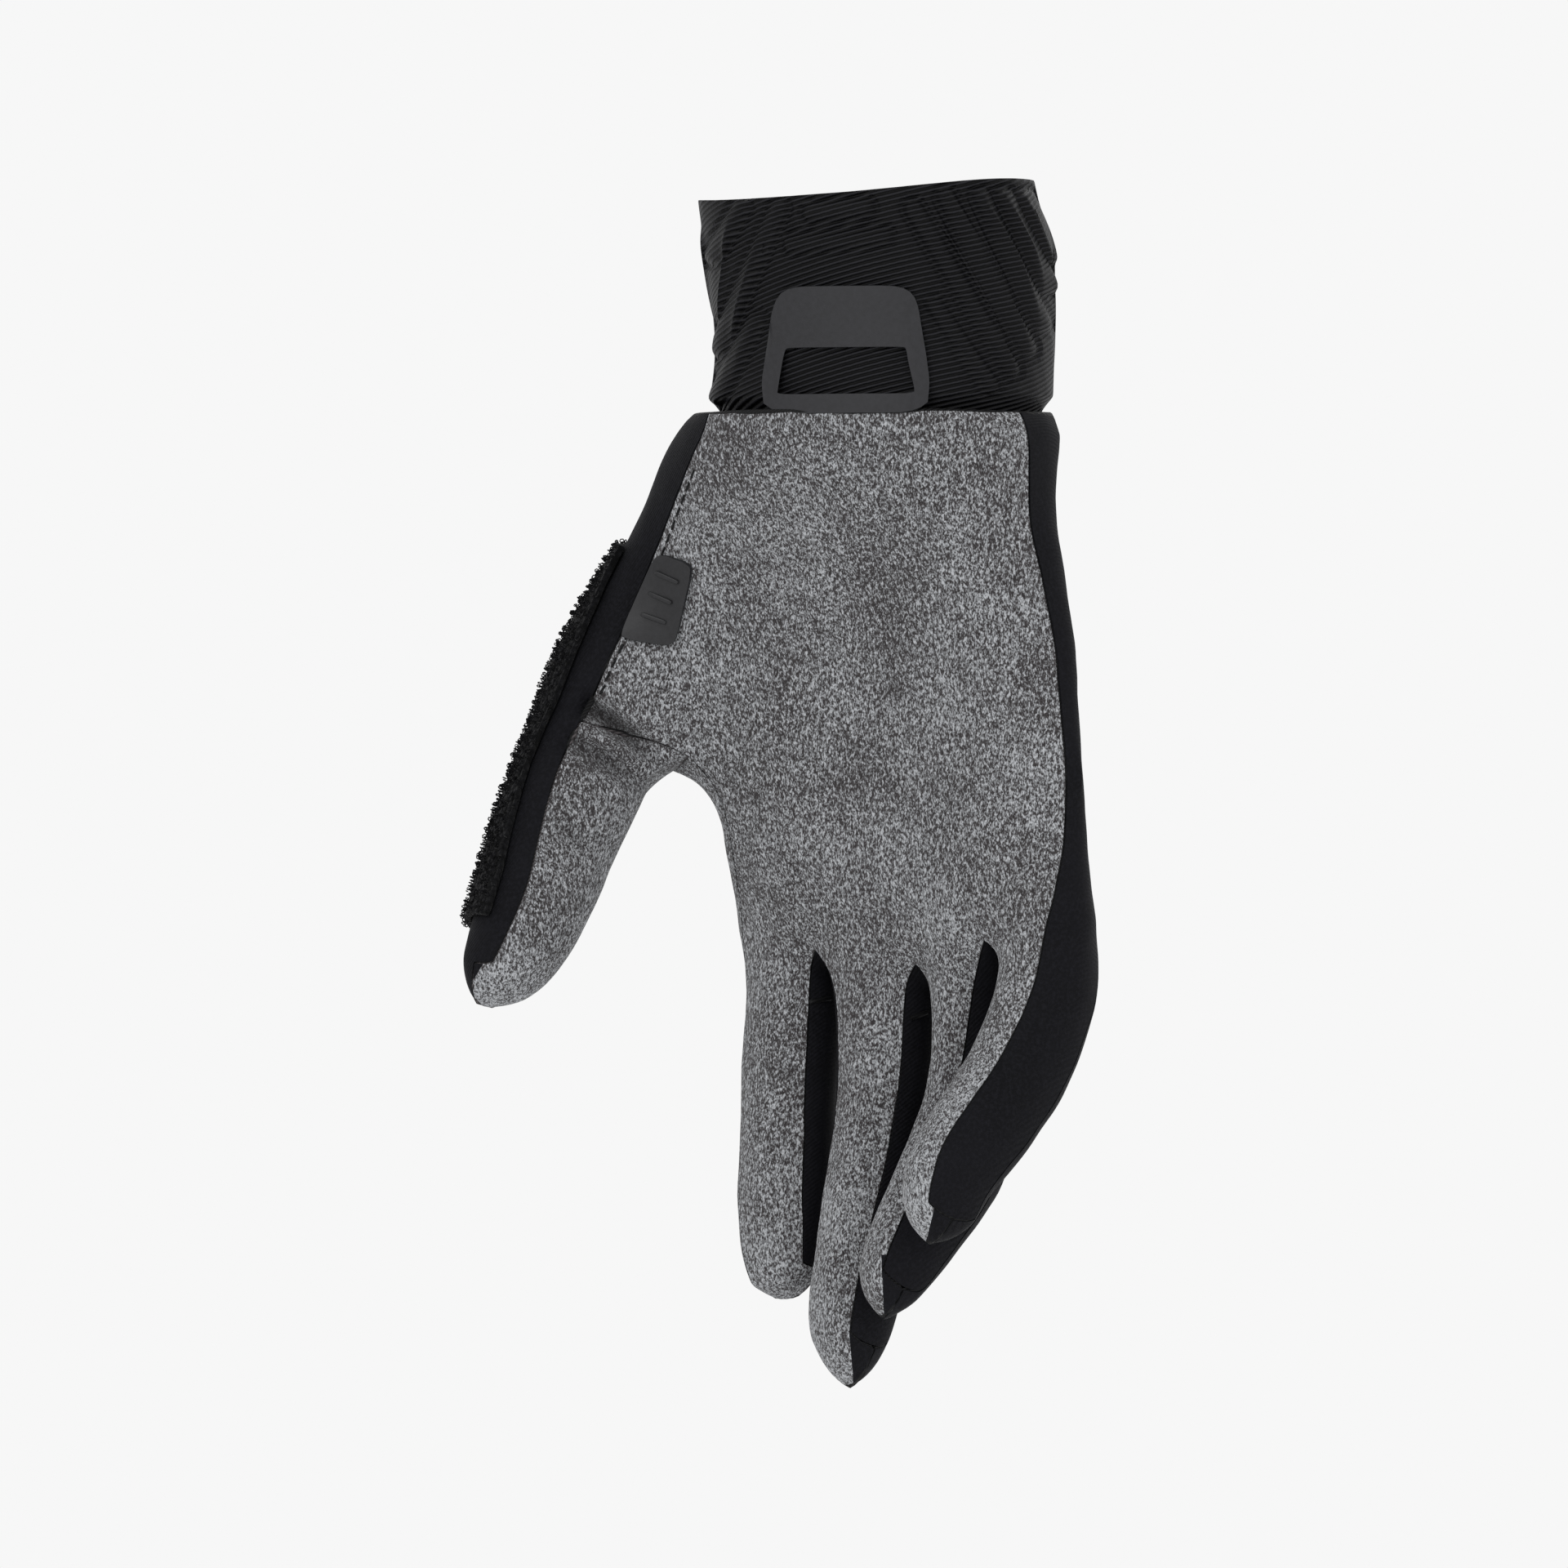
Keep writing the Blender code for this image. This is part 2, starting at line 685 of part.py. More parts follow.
def digit_rings(digit, start, angles):
    """The rings of a digit below its root, and its tip."""
    centre = start
    reached = 0.0
    rings = []
    for row, following in zip(digit.rows, digit.rows[1:] + digit.rows[-1:]):
        step = (row.along - reached) * digit.length
        centre = centre + leaning(row) * step
        reached = row.along
        direction = (leaning(row) + leaning(following)).normalized()
        palm, sideways = digit_frame(row, direction)
        if row is digit.rows[-1]:
            last = digit.rows[-2]
            reach = (row.along - last.along) * digit.length * TIP_REACH
            return rings, centre + leaning(row) * reach
        points = [
            centre
            + sideways * (0.5 * digit.width * row.width * math.sin(math.radians(angle)))
            + palm * (0.5 * digit.depth * row.depth * math.cos(math.radians(angle)))
            for angle in angles
        ]
        rings.append(sharpened(points))


def grow_digit(cage, digit, root, start, angles, panels, cap_panels, wipe_cells=()):
    """Adds a digit's rings below its root ring, and closes its tip."""
    rings, tip = digit_rings(digit, start, angles)
    upper = root
    for number, points in enumerate(rings):
        lower = cage.ring(points)
        marked = [
            panel + WIPE if i in wipe_cells and number < WIPE_ROWS else panel
            for i, panel in enumerate(panels)
        ]
        cage.join(upper, lower, marked)
        upper = lower
    cage.cap(upper, tip, cap_panels)


def whole_panels(number):
    """The panels of the 24 cells between a row above the web and the next."""
    wipe = WIPE if number >= 3 else 0
    front = [PALM] * LAST_COLUMN
    back = [BACK] * LAST_COLUMN
    back[-1] += wipe
    return front + [LITTLE_SIDE] * 2 + back + [THUMB_BACK + wipe, THUMB_BACK]


def ring_order(parts):
    """Front points, little-finger side, back points the other way, thumb side."""
    front, ulnar, back, radial = parts
    return front + [ulnar] + back[::-1] + [radial]


def hand_cage():
    cage = Cage()
    top = cuff_section(1.0, 0.0, THUMB_SHOULDER, LITTLE_SHOULDER)
    top_row = HandRow(0.0, 0.0, None, None, None, None, None, None, None, None, None)
    parts = [whole_ring(top, top_row, 0)]
    for number, row in enumerate(WHOLE_ROWS, 1):
        parts.append(whole_ring(hand_section(row), row, number))
    whole = [cage.ring(sharpened(ring_order(part))) for part in parts]
    for number, (upper, lower) in enumerate(zip(whole, whole[1:])):
        cage.join(upper, lower, whole_panels(number))

    # The last whole row splits into the thumb's ring and the palm's at the web.
    last = whole[-1]
    front = last[: LAST_COLUMN + 1]
    ulnar = last[LAST_COLUMN + 1]
    back = last[LAST_COLUMN + 2 : 2 * LAST_COLUMN + 3][::-1]
    radial = last[-1]
    between = 0.5 * (front[THUMB_COLUMN].co + back[THUMB_COLUMN].co)
    between.z -= THUMB_WEB_DROP
    web = cage.mesh.verts.new(between)
    thumb_root = front[: THUMB_COLUMN + 1] + [web] + back[THUMB_COLUMN::-1] + [radial]
    palm_root = front[THUMB_COLUMN:] + [ulnar] + back[: THUMB_COLUMN - 1 : -1] + [web]

    centre = sum((vertex.co for vertex in thumb_root), Vector()) / len(thumb_root)
    thumb_panels = [THUMB_PALM] * 3 + [THUMB_BACK] * 5
    grow_digit(
        cage,
        THUMB,
        thumb_root,
        centre,
        THUMB_ANGLES,
        thumb_panels,
        (THUMB_PALM, THUMB_PALM, THUMB_BACK, THUMB_BACK),
        wipe_cells=(4, 5, 6),
    )

    cells = LAST_COLUMN - THUMB_COLUMN
    palm_panels = [PALM] * cells + [LITTLE_SIDE] * 2 + [BACK] * cells + [INDEX_SIDE] * 2
    upper = palm_root
    for number, row in enumerate(FINGER_ROWS):
        lower = cage.ring(sharpened(ring_order(finger_ring(row, number))))
        cage.join(upper, lower, palm_panels)
        upper = lower
    grow_fingers(cage, upper)
    return cage.mesh


def grow_fingers(cage, knuckles):
    """Splits the knuckle row into four digits, with a web point between neighbours."""
    cells = LAST_COLUMN - THUMB_COLUMN
    front = knuckles[: cells + 1]
    ulnar = knuckles[cells + 1]
    back = knuckles[cells + 2 : 2 * cells + 3][::-1]
    radial = knuckles[-1]
    webs = [radial]
    for column in CROTCHES:
        between = 0.5 * (front[column].co + back[column].co)
        between.z = front[column].co.z - WEB_DROP
        webs.append(cage.mesh.verts.new(between))
    webs.append(ulnar)
    sides = (INDEX_SIDE, *FOURCHETTES, LITTLE_SIDE)
    digits = (INDEX, MIDDLE, RING, LITTLE)
    for number, digit in enumerate(digits):
        angles = INDEX_ANGLES if digit is INDEX else FINGER_ANGLES
        first = 2 * number
        root = front[first : first + 3] + [webs[number + 1]]
        root += back[first : first + 3][::-1] + [webs[number]]
        near, far = sides[number], sides[number + 1]
        panels = [PALM, PALM, far, far, BACK, BACK, near, near]
        turn = math.radians(FINGER_ROWS[-1].turn)
        inward = Vector((math.sin(turn), math.cos(turn), 0.0))
        start = front[first + 1].co + inward * (0.5 * digit.depth + SUEDE_WALL)
        grow_digit(
            cage, digit, root, start, angles, panels, (PALM, PALM, BACK, BACK)
        )


def smoothed(cage_mesh):
    """The cage's smooth surface, one subdivision fine, as a bmesh."""
    mesh = bpy.data.meshes.new("hand_surface")
    cage_mesh.to_mesh(mesh)
    cage_mesh.free()
    guide = bpy.data.objects.new("hand_surface", mesh)
    bpy.context.scene.collection.objects.link(guide)
    subdivision = guide.modifiers.new("Subdivision", "SUBSURF")
    subdivision.levels = 1
    subdivision.render_levels = 1
    graph = bpy.context.evaluated_depsgraph_get()
    surface = bmesh.new()
    surface.from_object(guide, graph)
    bpy.data.objects.remove(guide)
    bpy.data.meshes.remove(mesh)
    surface.normal_update()
    surface.verts.index_update()
    return surface


def press_folds(surface):
    """Moves the palm side in along each fold, and out along each ridge."""
    moves = []
    for vertex in surface.verts:
        if vertex.normal.y > FOLD_FACING:
            continue
        here = Vector((vertex.co.x, vertex.co.z))
        for fold in FOLDS:
            start = Vector((fold.across_a * PALM_WIDTH, -CUFF_LENGTH - fold.down_a * PALM_LENGTH))
            end = Vector((fold.across_b * PALM_WIDTH, -CUFF_LENGTH - fold.down_b * PALM_LENGTH))
            run = end - start
            way = min(max((here - start).dot(run) / run.length_squared, 0.0), 1.0)
            away = (here - start - run * way).length / (fold.spread * PALM_WIDTH)
            if away < FOLD_REACH:
                depth = fold.depth * PALM_DEPTH * math.exp(-away * away)
                moves.append((vertex, vertex.normal * -depth))
    for vertex, move in moves:
        vertex.co += move
    surface.normal_update()


# Cloth panels


def edge_shift(vertex, faces, width):
    """The move, within the surface, that leaves half a seam's gap at a panel's edge."""
    inward = []
    for edge in vertex.link_edges:
        own = [face for face in edge.link_faces if face in faces]
        if len(own) != 1:
            continue
        middle = 0.5 * (edge.verts[0].co + edge.verts[1].co)
        along = (edge.verts[1].co - edge.verts[0].co).normalized()
        step = own[0].calc_center_median() - middle
        inward.append((step - along * step.dot(along)).normalized())
    if not inward:
        return Vector()
    total = sum(inward, Vector())
    if len(inward) == 1 or total.length < SHARP_CORNER:
        own = [face for face in vertex.link_faces if face in faces]
        total = sum((face.calc_center_median() - vertex.co for face in own), Vector())
        total -= vertex.normal * total.dot(vertex.normal)
        return total.normalized() * width * CORNER_PULL
    return total * (width / max(0.5 * total.length_squared, CORNER_LIMIT))


def thick_panel(surface, chosen, wall, lift):
    """A closed cloth panel over the chosen faces: its outside is lift off the surface."""
    faces = set(chosen)
    mesh = bmesh.new()
    outer, inner = {}, {}
    for vertex in dict.fromkeys(vertex for face in chosen for vertex in face.verts):
        place = vertex.co + edge_shift(vertex, faces, 0.5 * SEAM_GAP) + vertex.normal * lift
        outer[vertex] = mesh.verts.new(place)
        inner[vertex] = mesh.verts.new(place - vertex.normal * wall)
    for face in chosen:
        mesh.faces.new([outer[vertex] for vertex in face.verts])
        mesh.faces.new([inner[vertex] for vertex in reversed(face.verts)])
        for loop in face.loops:
            if sum(neighbour in faces for neighbour in loop.edge.link_faces) == 1:
                a, b = loop.vert, loop.link_loop_next.vert
                # Both panels at a seam split its wall along the same diagonal.
                if a.index < b.index:
                    mesh.faces.new((outer[b], outer[a], inner[b]))
                    mesh.faces.new((outer[a], inner[a], inner[b]))
                else:
                    mesh.faces.new((outer[b], outer[a], inner[a]))
                    mesh.faces.new((outer[b], inner[a], inner[b]))
    return mesh


def make_panels(surface, materials):
    for number, name in enumerate(PANELS):
        chosen = [face for face in surface.faces if face.material_index % WIPE == number]
        suede = number in (PALM, THUMB_PALM)
        wall = SUEDE_WALL if suede else SHELL_WALL
        material = materials["suede" if suede else "softshell"]
        add_object(name, thick_panel(surface, chosen, wall, 0.0), material)


def make_wipe(surface, materials):
    chosen = [face for face in surface.faces if face.material_index >= WIPE]
    mesh = thick_panel(surface, chosen, WIPE_WALL, WIPE_WALL + CLEARANCE)
    add_object("thumb_wipe", mesh, materials["terry"])


# Trim laid on the surface


def rounded_outline(corners, radius, arc_steps, side_steps):
    """A closed outline through four corners, each turned by an arc."""
    points = []
    for index, corner in enumerate(corners):
        before = (corners[index - 1] - corner).normalized()
        after = (corners[(index + 1) % 4] - corner).normalized()
        for step in range(arc_steps + 1):
            way = step / arc_steps
            reach = radius * (1.0 - way) ** 2, radius * way**2
            points.append(corner + before * reach[0] + after * reach[1])
        following = corners[(index + 1) % 4]
        start = corner + after * radius
        end = following - after * radius
        points += [start.lerp(end, (i + 1) / (side_steps + 1)) for i in range(side_steps)]
    return points


def on_hand(tree, point, lift):
    """The place on the hand that the front view shows at a point, lifted off it."""
    hit, normal, _, _ = tree.ray_cast(Vector((point.x, -1.0, point.y)), Vector((0.0, 1.0, 0.0)))
    return hit + normal * lift


def on_cuff(_, point, lift):
    """The place on the cuff's plain outline that the front view shows at a point."""
    section = cuff_section(-point.y / CUFF_LENGTH, -lift)
    place = section.point(section.angle_at(point.x))
    place.z = point.y
    return place


def laid_sheet(laid_on, tree, loops, wall, centre=None):
    """A thin closed piece over front-view loops, the outermost first."""
    mesh = bmesh.new()
    top = [[mesh.verts.new(laid_on(tree, p, CLEARANCE + wall)) for p in loop] for loop in loops]
    under = [[mesh.verts.new(laid_on(tree, p, CLEARANCE)) for p in loop] for loop in loops]
    if centre is None:
        loft(mesh, under[::-1] + top + under[-1:])
    else:
        loft(mesh, under[::-1] + top)
        for loop, lift, order in ((top[-1], CLEARANCE + wall, 1), (under[-1], CLEARANCE, -1)):
            middle = mesh.verts.new(laid_on(tree, centre, lift))
            for i, vertex in enumerate(loop):
                following = loop[(i + 1) % len(loop)]
                mesh.faces.new((middle, following, vertex)[::order])
    bmesh.ops.recalc_face_normals(mesh, faces=mesh.faces)
    return mesh


def front_place(across, down):
    return Vector((across * PALM_WIDTH, -CUFF_LENGTH - down * PALM_LENGTH))


def make_patch(materials):
    """A trapezoid frame whose foot lies along the cuff's seam."""
    middle = PATCH_ACROSS * CUFF_WIDTH
    foot = -CUFF_LENGTH + SHELL_WALL + 6.0 * CLEARANCE
    head = foot + PATCH_LENGTH
    half_foot = 0.5 * PATCH_WIDTH
    half_head = half_foot * PATCH_TAPER
    corners = [
        Vector((middle - half_head, head)),
        Vector((middle - half_foot, foot)),
        Vector((middle + half_foot, foot)),
        Vector((middle + half_head, head)),
    ]
    outer = rounded_outline(corners, PATCH_RADIUS, 2, 4)
    sill = foot + PATCH_SILL
    lintel = foot + WINDOW_TOP * PATCH_LENGTH
    half_sill = half_foot - 1.5 * PATCH_BORDER
    half_lintel = half_sill * WINDOW_TAPER
    window = [
        Vector((middle - half_lintel, lintel)),
        Vector((middle - half_sill, sill)),
        Vector((middle + half_sill, sill)),
        Vector((middle + half_lintel, lintel)),
    ]
    inner = rounded_outline(window, WINDOW_RADIUS, 2, 4)
    loops = [[a.lerp(b, way) for a, b in zip(outer, inner)] for way in (0.0, 0.5, 1.0)]
    patch = laid_sheet(on_cuff, None, loops, PATCH_WALL)
    add_object("cuff_patch", patch, materials["film"])


def make_tab(palm_tree, materials):
    """A rubber tab whose straight edge lies along the palm's thumb-side seam."""
    centre = front_place(TAB_ACROSS, TAB_DOWN)
    tilt = math.radians(TAB_TILT)
    along = Vector((-math.sin(tilt), -math.cos(tilt)))
    across = Vector((math.cos(tilt), -math.sin(tilt)))
    corners = [
        centre + along * (TAB_LENGTH * down) + across * (TAB_REACH * out)
        for down, out in TAB_CORNERS
    ]
    middle = sum(corners, Vector((0.0, 0.0))) / 4.0
    outline = rounded_outline(corners, TAB_RADIUS, 2, 2)
    loops = [[point.lerp(middle, way) for point in outline] for way in (0.0, 0.5)]
    tab = laid_sheet(on_hand, palm_tree, loops, TAB_WALL, middle)
    add_object("side_tab", tab, materials["rubber"])


def main():
    for thing in list(bpy.context.scene.objects):
        bpy.data.objects.remove(thing)
    materials = {name: make_material(name) for name in COLOURS}
    add_object("cuff", cuff_mesh(), materials["twill"])
    make_patch(materials)
    surface = smoothed(hand_cage())
    press_folds(surface)
    palm_tree = BVHTree.FromBMesh(surface)
    make_panels(surface, materials)
    make_wipe(surface, materials)
    make_tab(palm_tree, materials)
    surface.free()


main()
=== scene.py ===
import math
import random

import bpy
from bpy.props import (
    FloatProperty,
    FloatVectorProperty,
    IntProperty,
    PointerProperty,
)
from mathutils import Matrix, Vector, noise
from mathutils.bvhtree import BVHTree


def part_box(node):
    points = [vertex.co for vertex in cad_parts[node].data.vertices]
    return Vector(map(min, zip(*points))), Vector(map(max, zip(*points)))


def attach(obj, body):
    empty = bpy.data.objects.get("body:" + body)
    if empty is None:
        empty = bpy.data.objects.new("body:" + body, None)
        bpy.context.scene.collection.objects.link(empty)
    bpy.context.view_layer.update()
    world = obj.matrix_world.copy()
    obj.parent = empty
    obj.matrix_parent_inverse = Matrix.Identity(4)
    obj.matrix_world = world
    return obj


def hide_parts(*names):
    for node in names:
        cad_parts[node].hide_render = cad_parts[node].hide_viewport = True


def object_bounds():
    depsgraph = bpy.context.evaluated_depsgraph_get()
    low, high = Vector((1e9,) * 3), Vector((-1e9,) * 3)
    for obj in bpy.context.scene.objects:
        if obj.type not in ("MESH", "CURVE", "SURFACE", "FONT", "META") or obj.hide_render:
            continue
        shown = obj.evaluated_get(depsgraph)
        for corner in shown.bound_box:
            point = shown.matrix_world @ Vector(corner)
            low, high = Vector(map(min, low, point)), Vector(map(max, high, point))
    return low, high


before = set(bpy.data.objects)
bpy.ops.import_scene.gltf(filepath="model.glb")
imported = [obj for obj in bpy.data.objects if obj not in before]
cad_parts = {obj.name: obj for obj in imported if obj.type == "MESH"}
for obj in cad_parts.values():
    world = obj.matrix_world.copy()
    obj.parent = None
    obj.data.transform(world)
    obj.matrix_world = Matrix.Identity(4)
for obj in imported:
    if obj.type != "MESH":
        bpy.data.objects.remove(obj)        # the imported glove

bl_info = {
    "name": "Riding Glove Finisher",
    "version": (1, 0, 0),
    "blender": (4, 5, 0),
    "location": "3D Viewport > Sidebar > Glove",
    "description": "Dresses a cut-out riding glove with suede, softshell, ribs, seams and terry",
    "category": "Object",
}

CAD_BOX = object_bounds()
MM = 0.001
# A corner of the cloth sharper than this is a cut edge, kept crisp by its crease.
CUT_EDGE = math.radians(50)

SUEDE_NODES = ("palm_panel", "thumb_palm_panel")
SOFTSHELL_NODES = (
    "back_panel",
    "little_side_panel",
    "index_side_panel",
    "fourchette_index_middle",
    "fourchette_middle_ring",
    "fourchette_ring_little",
    "thumb_back_panel",
)

SEAMED_NODES = (*SUEDE_NODES, "back_panel", "thumb_back_panel", "little_side_panel")
# Lines along the middle of each panel's cut edges, kept as the panels are cut.
RIM_LINES = {}

# Folds pressed into the palm side: x and z of each bend in millimetres, half width,
# and depth, where a negative depth is a raised ridge.
THUMB_FOLDS = (
    (((-57.5, -99), (-54, -101.5), (-47, -107), (-39.5, -113.5)), 2.0, 3.6),
    (((-61, -106.5), (-57, -108.5), (-49, -113.5), (-41, -118)), 1.9, 2.6),
    (((-59, -103), (-55, -105.2), (-48, -110.5), (-41, -115.8)), 1.6, -2.2),
    (((-55, -97), (-49, -100.5), (-40, -108)), 2.4, -1.2),
    (((-62, -122.5), (-58, -126), (-54, -129.5)), 2.0, 1.2),
)
PALM_FOLDS = (
    (((14, -140.5), (19, -146), (23.7, -151.7)), 2.6, -0.7),
    (((4, -143), (8, -149)), 2.4, -0.5),
    (((-22, -98), (-12, -106), (-3, -110)), 3.0, 0.28),
    (((-6, -92), (6, -99), (14, -104)), 2.6, 0.25),
    (((2, -112), (12, -117), (22, -120)), 2.6, 0.28),
    (((-30, -84), (-22, -92)), 3.0, 0.25),
)
# Where the black cloth comes round a tip: node, number of the tip from the thumb side
# on, two points of the edge in x and z in millimetres, and the side that is black.
TIP_EDGES = (
    ("palm_panel", 2, (-3.6, -223.0), (-2.7, -234.5), 1),
    ("palm_panel", 3, (2.6, -208.0), (3.3, -222.5), 1),
    ("palm_panel", 4, (13.4, -196.0), (11.2, -205.0), 1),
    ("thumb_palm_panel", 1, (-73.6, -149.0), (-78.0, -156.4), -1),
)
# Below this height the ends of a piece's fingers hang apart from each other.
TIP_HEIGHTS = {"palm_panel": -185.0 * MM, "thumb_palm_panel": -140.0 * MM}
# Padded ribs of the cuff's palm side: x and z of both ends in millimetres.
CUFF_RIBS = (
    ((-24.8, -4.3), (-30.1, -13.0)),
    ((-17.4, -4.5), (-29.3, -31.0)),
    ((-21.8, -26.1), (-29.6, -40.6)),
    ((8.8, -4.8), (27.8, -35.7)),
    ((15.2, -2.5), (31.2, -31.5)),
    ((22.1, -2.2), (34.2, -26.6)),
    ((26.7, -2.2), (35.7, -19.0)),
    ((31.2, -2.2), (36.2, -13.0)),
    ((12.8, -23.4), (23.8, -39.0)),
    ((-10.9, -5.4), (-0.6, -4.5)),
    ((-14.7, -11.5), (3.0, -10.1)),
)
# Heights of the patch's upper and lower edges on the cuff.
PATCH_TOP = -19.6 * MM
PATCH_FOOT = -44.4 * MM
# The window's lower edge: above the patch's foot in the model, and its height as sewn.
PATCH_SILL = 1.9 * MM
SILL_HEIGHT = -40.4 * MM
# Below this height the cuff turns in under the hand.
CUFF_TURN = -40.0 * MM
# Short seams across the finger side strips: middle of each, in millimetres, and
# the strip it lies on.
CROSS_SEAMS = (
    ("fourchette_index_middle", (-11.8, -159.4), (-7.2, -158.6)),
    ("fourchette_middle_ring", (8.4, -162.4), (11.6, -161.2)),
)


def linear(code):
    """A colour from its sRGB hex code, as the linear RGBA a socket takes."""
    channels = []
    for start in (0, 2, 4):
        value = int(code[start:start + 2], 16) / 255
        channels.append(value / 12.92 if value <= 0.04045 else ((value + 0.055) / 1.055) ** 2.4)
    return (*channels, 1.0)


def colour_of(name, code, description):
    """A colour property with that default."""
    return FloatVectorProperty(
        name=name,
        description=description,
        default=linear(code),
        size=4,
        min=0.0,
        max=1.0,
        subtype="COLOR",
    )


def length_of(name, value, description):
    """A length property, in metres, with that default."""
    return FloatProperty(
        name=name,
        description=description,
        default=value,
        min=0.0,
        unit="LENGTH",
        subtype="DISTANCE",
        precision=5,
    )


class GLOVE_PG_cloth(bpy.types.PropertyGroup):
    """Colours and textures of the glove's cloths."""

    suede_ground: colour_of("Suede ground", "343132", "Dark ground of the heathered suede")
    suede_fleck: colour_of("Suede fleck", "9b9da0", "Light fibres of the heathered suede")
    softshell: colour_of("Softshell", "0b0b0e", "Back, side strips and thumb strip")
    twill: colour_of("Cuff twill", "0e0e10", "Cords of the cuff's twill")
    terry: colour_of("Terry", "0c0c0e", "Looped wipe on the thumb")
    film: colour_of("Film", "1c1c1f", "Welded film on the cuff")
    rubber: colour_of("Rubber", "19191b", "Moulded tab in the palm seam")
    thread: colour_of("Thread", "0a0a0b", "Sewing thread and seam cord")
    fleck: length_of("Fleck", 0.48 * MM, "Width of one light fleck of the suede")
    twill_pitch: length_of("Twill pitch", 1.0 * MM, "Spacing of the cuff's twill cords")


class GLOVE_PG_sewing(bpy.types.PropertyGroup):
    """Sizes of the sewn details."""

    levels: IntProperty(
        name="Smoothing",
        description="How many times each cloth panel is subdivided",
        default=2,
        min=1,
        max=3,
    )
    ripple: length_of("Ripple", 0.35 * MM, "How far the worn cloth waves in and out")
    rib_height: length_of("Rib height", 0.75 * MM, "How far a cuff rib stands off the cloth")
    seam: length_of("Seam cord", 0.42 * MM, "Radius of the cord that closes a seam")
    cuff_seam: length_of("Cuff seam", 0.75 * MM, "Radius of the roll where cuff and hand meet")
    stitch: length_of("Stitch", 2.1 * MM, "Length of one stitch")
    stitch_pitch: length_of("Stitch pitch", 3.0 * MM, "From one stitch to the next")
    loops: IntProperty(
        name="Loops",
        description="Number of terry loops on the wipe",
        default=4200,
        min=0,
    )
    loop_height: length_of("Loop height", 0.75 * MM, "Height of one terry loop")


class GLOVE_PG_stage(bpy.types.PropertyGroup):
    """Floor, lights and camera."""

    distance: length_of("Camera distance", 3.0, "From the glove to the camera")
    frame_width: length_of("Frame width", 0.3072, "Width of the picture at the glove")
    floor_drop: length_of("Floor drop", 0.305, "Depth of the floor below the wrist mouth")
    floor_radius: length_of("Floor radius", 0.62, "Radius of the round floor")
    paper: colour_of("Paper", "f7f7f7", "Pale floor and surround")
    key_watts: FloatProperty(
        name="Key light",
        description="Power of the large soft light at the upper left",
        default=9.0,
        min=0.0,
        unit="POWER",
    )


def select_only(*objects):
    """Selects these objects and nothing else, the first one active."""
    bpy.ops.object.select_all(action="DESELECT")
    for obj in objects:
        obj.hide_set(False)
        obj.select_set(True)
    bpy.context.view_layer.objects.active = objects[0]


def add_node(tree, kind, sockets=(), links=(), **settings):
    """Adds one shader node with its settings, socket values and incoming links."""
    node = tree.nodes.new(kind)
    for name, value in settings.items():
        setattr(node, name, value)
    for socket, value in dict(sockets).items():
        node.inputs[socket].default_value = value
    for socket, source in dict(links).items():
        tree.links.new(source, node.inputs[socket])
    return node


def new_material(name):
    """An empty node material and its tree, with the output in place."""
    material = bpy.data.materials.new(name)
    material.use_nodes = True
    tree = material.node_tree
    tree.nodes.clear()
    output = add_node(tree, "ShaderNodeOutputMaterial")
    return material, tree, output


def ramp(tree, source, stops):
    """A colour ramp over source, from pairs of place and colour."""
    node = add_node(tree, "ShaderNodeValToRGB", links={"Fac": source})
    elements = node.color_ramp.elements
    while len(elements) < len(stops):
        elements.new(0.5)
    for element, (place, colour) in zip(elements, stops):
        element.position = place
        element.color = colour
    return node.outputs["Color"]


def scaled_place(tree, place, scale, turn=(0.0, 0.0, 0.0)):
    """Object coordinates turned and scaled by a Mapping node."""
    settings = {"Scale": scale, "Rotation": turn}
    return add_node(tree, "ShaderNodeMapping", settings, {"Vector": place}).outputs["Vector"]


def mixed(tree, share, low, high):
    """A colour between low and high by share."""
    node = add_node(tree, "ShaderNodeMix", data_type="RGBA")
    tree.links.new(share, node.inputs[0])
    for index, value in ((6, low), (7, high)):
        if isinstance(value, bpy.types.NodeSocket):
            tree.links.new(value, node.inputs[index])
        else:
            node.inputs[index].default_value = value
    return node.outputs[2]


def shade(colour, factor):
    """The same colour, lighter or darker by a factor."""
    return (*(min(1.0, channel * factor) for channel in colour[:3]), 1.0)


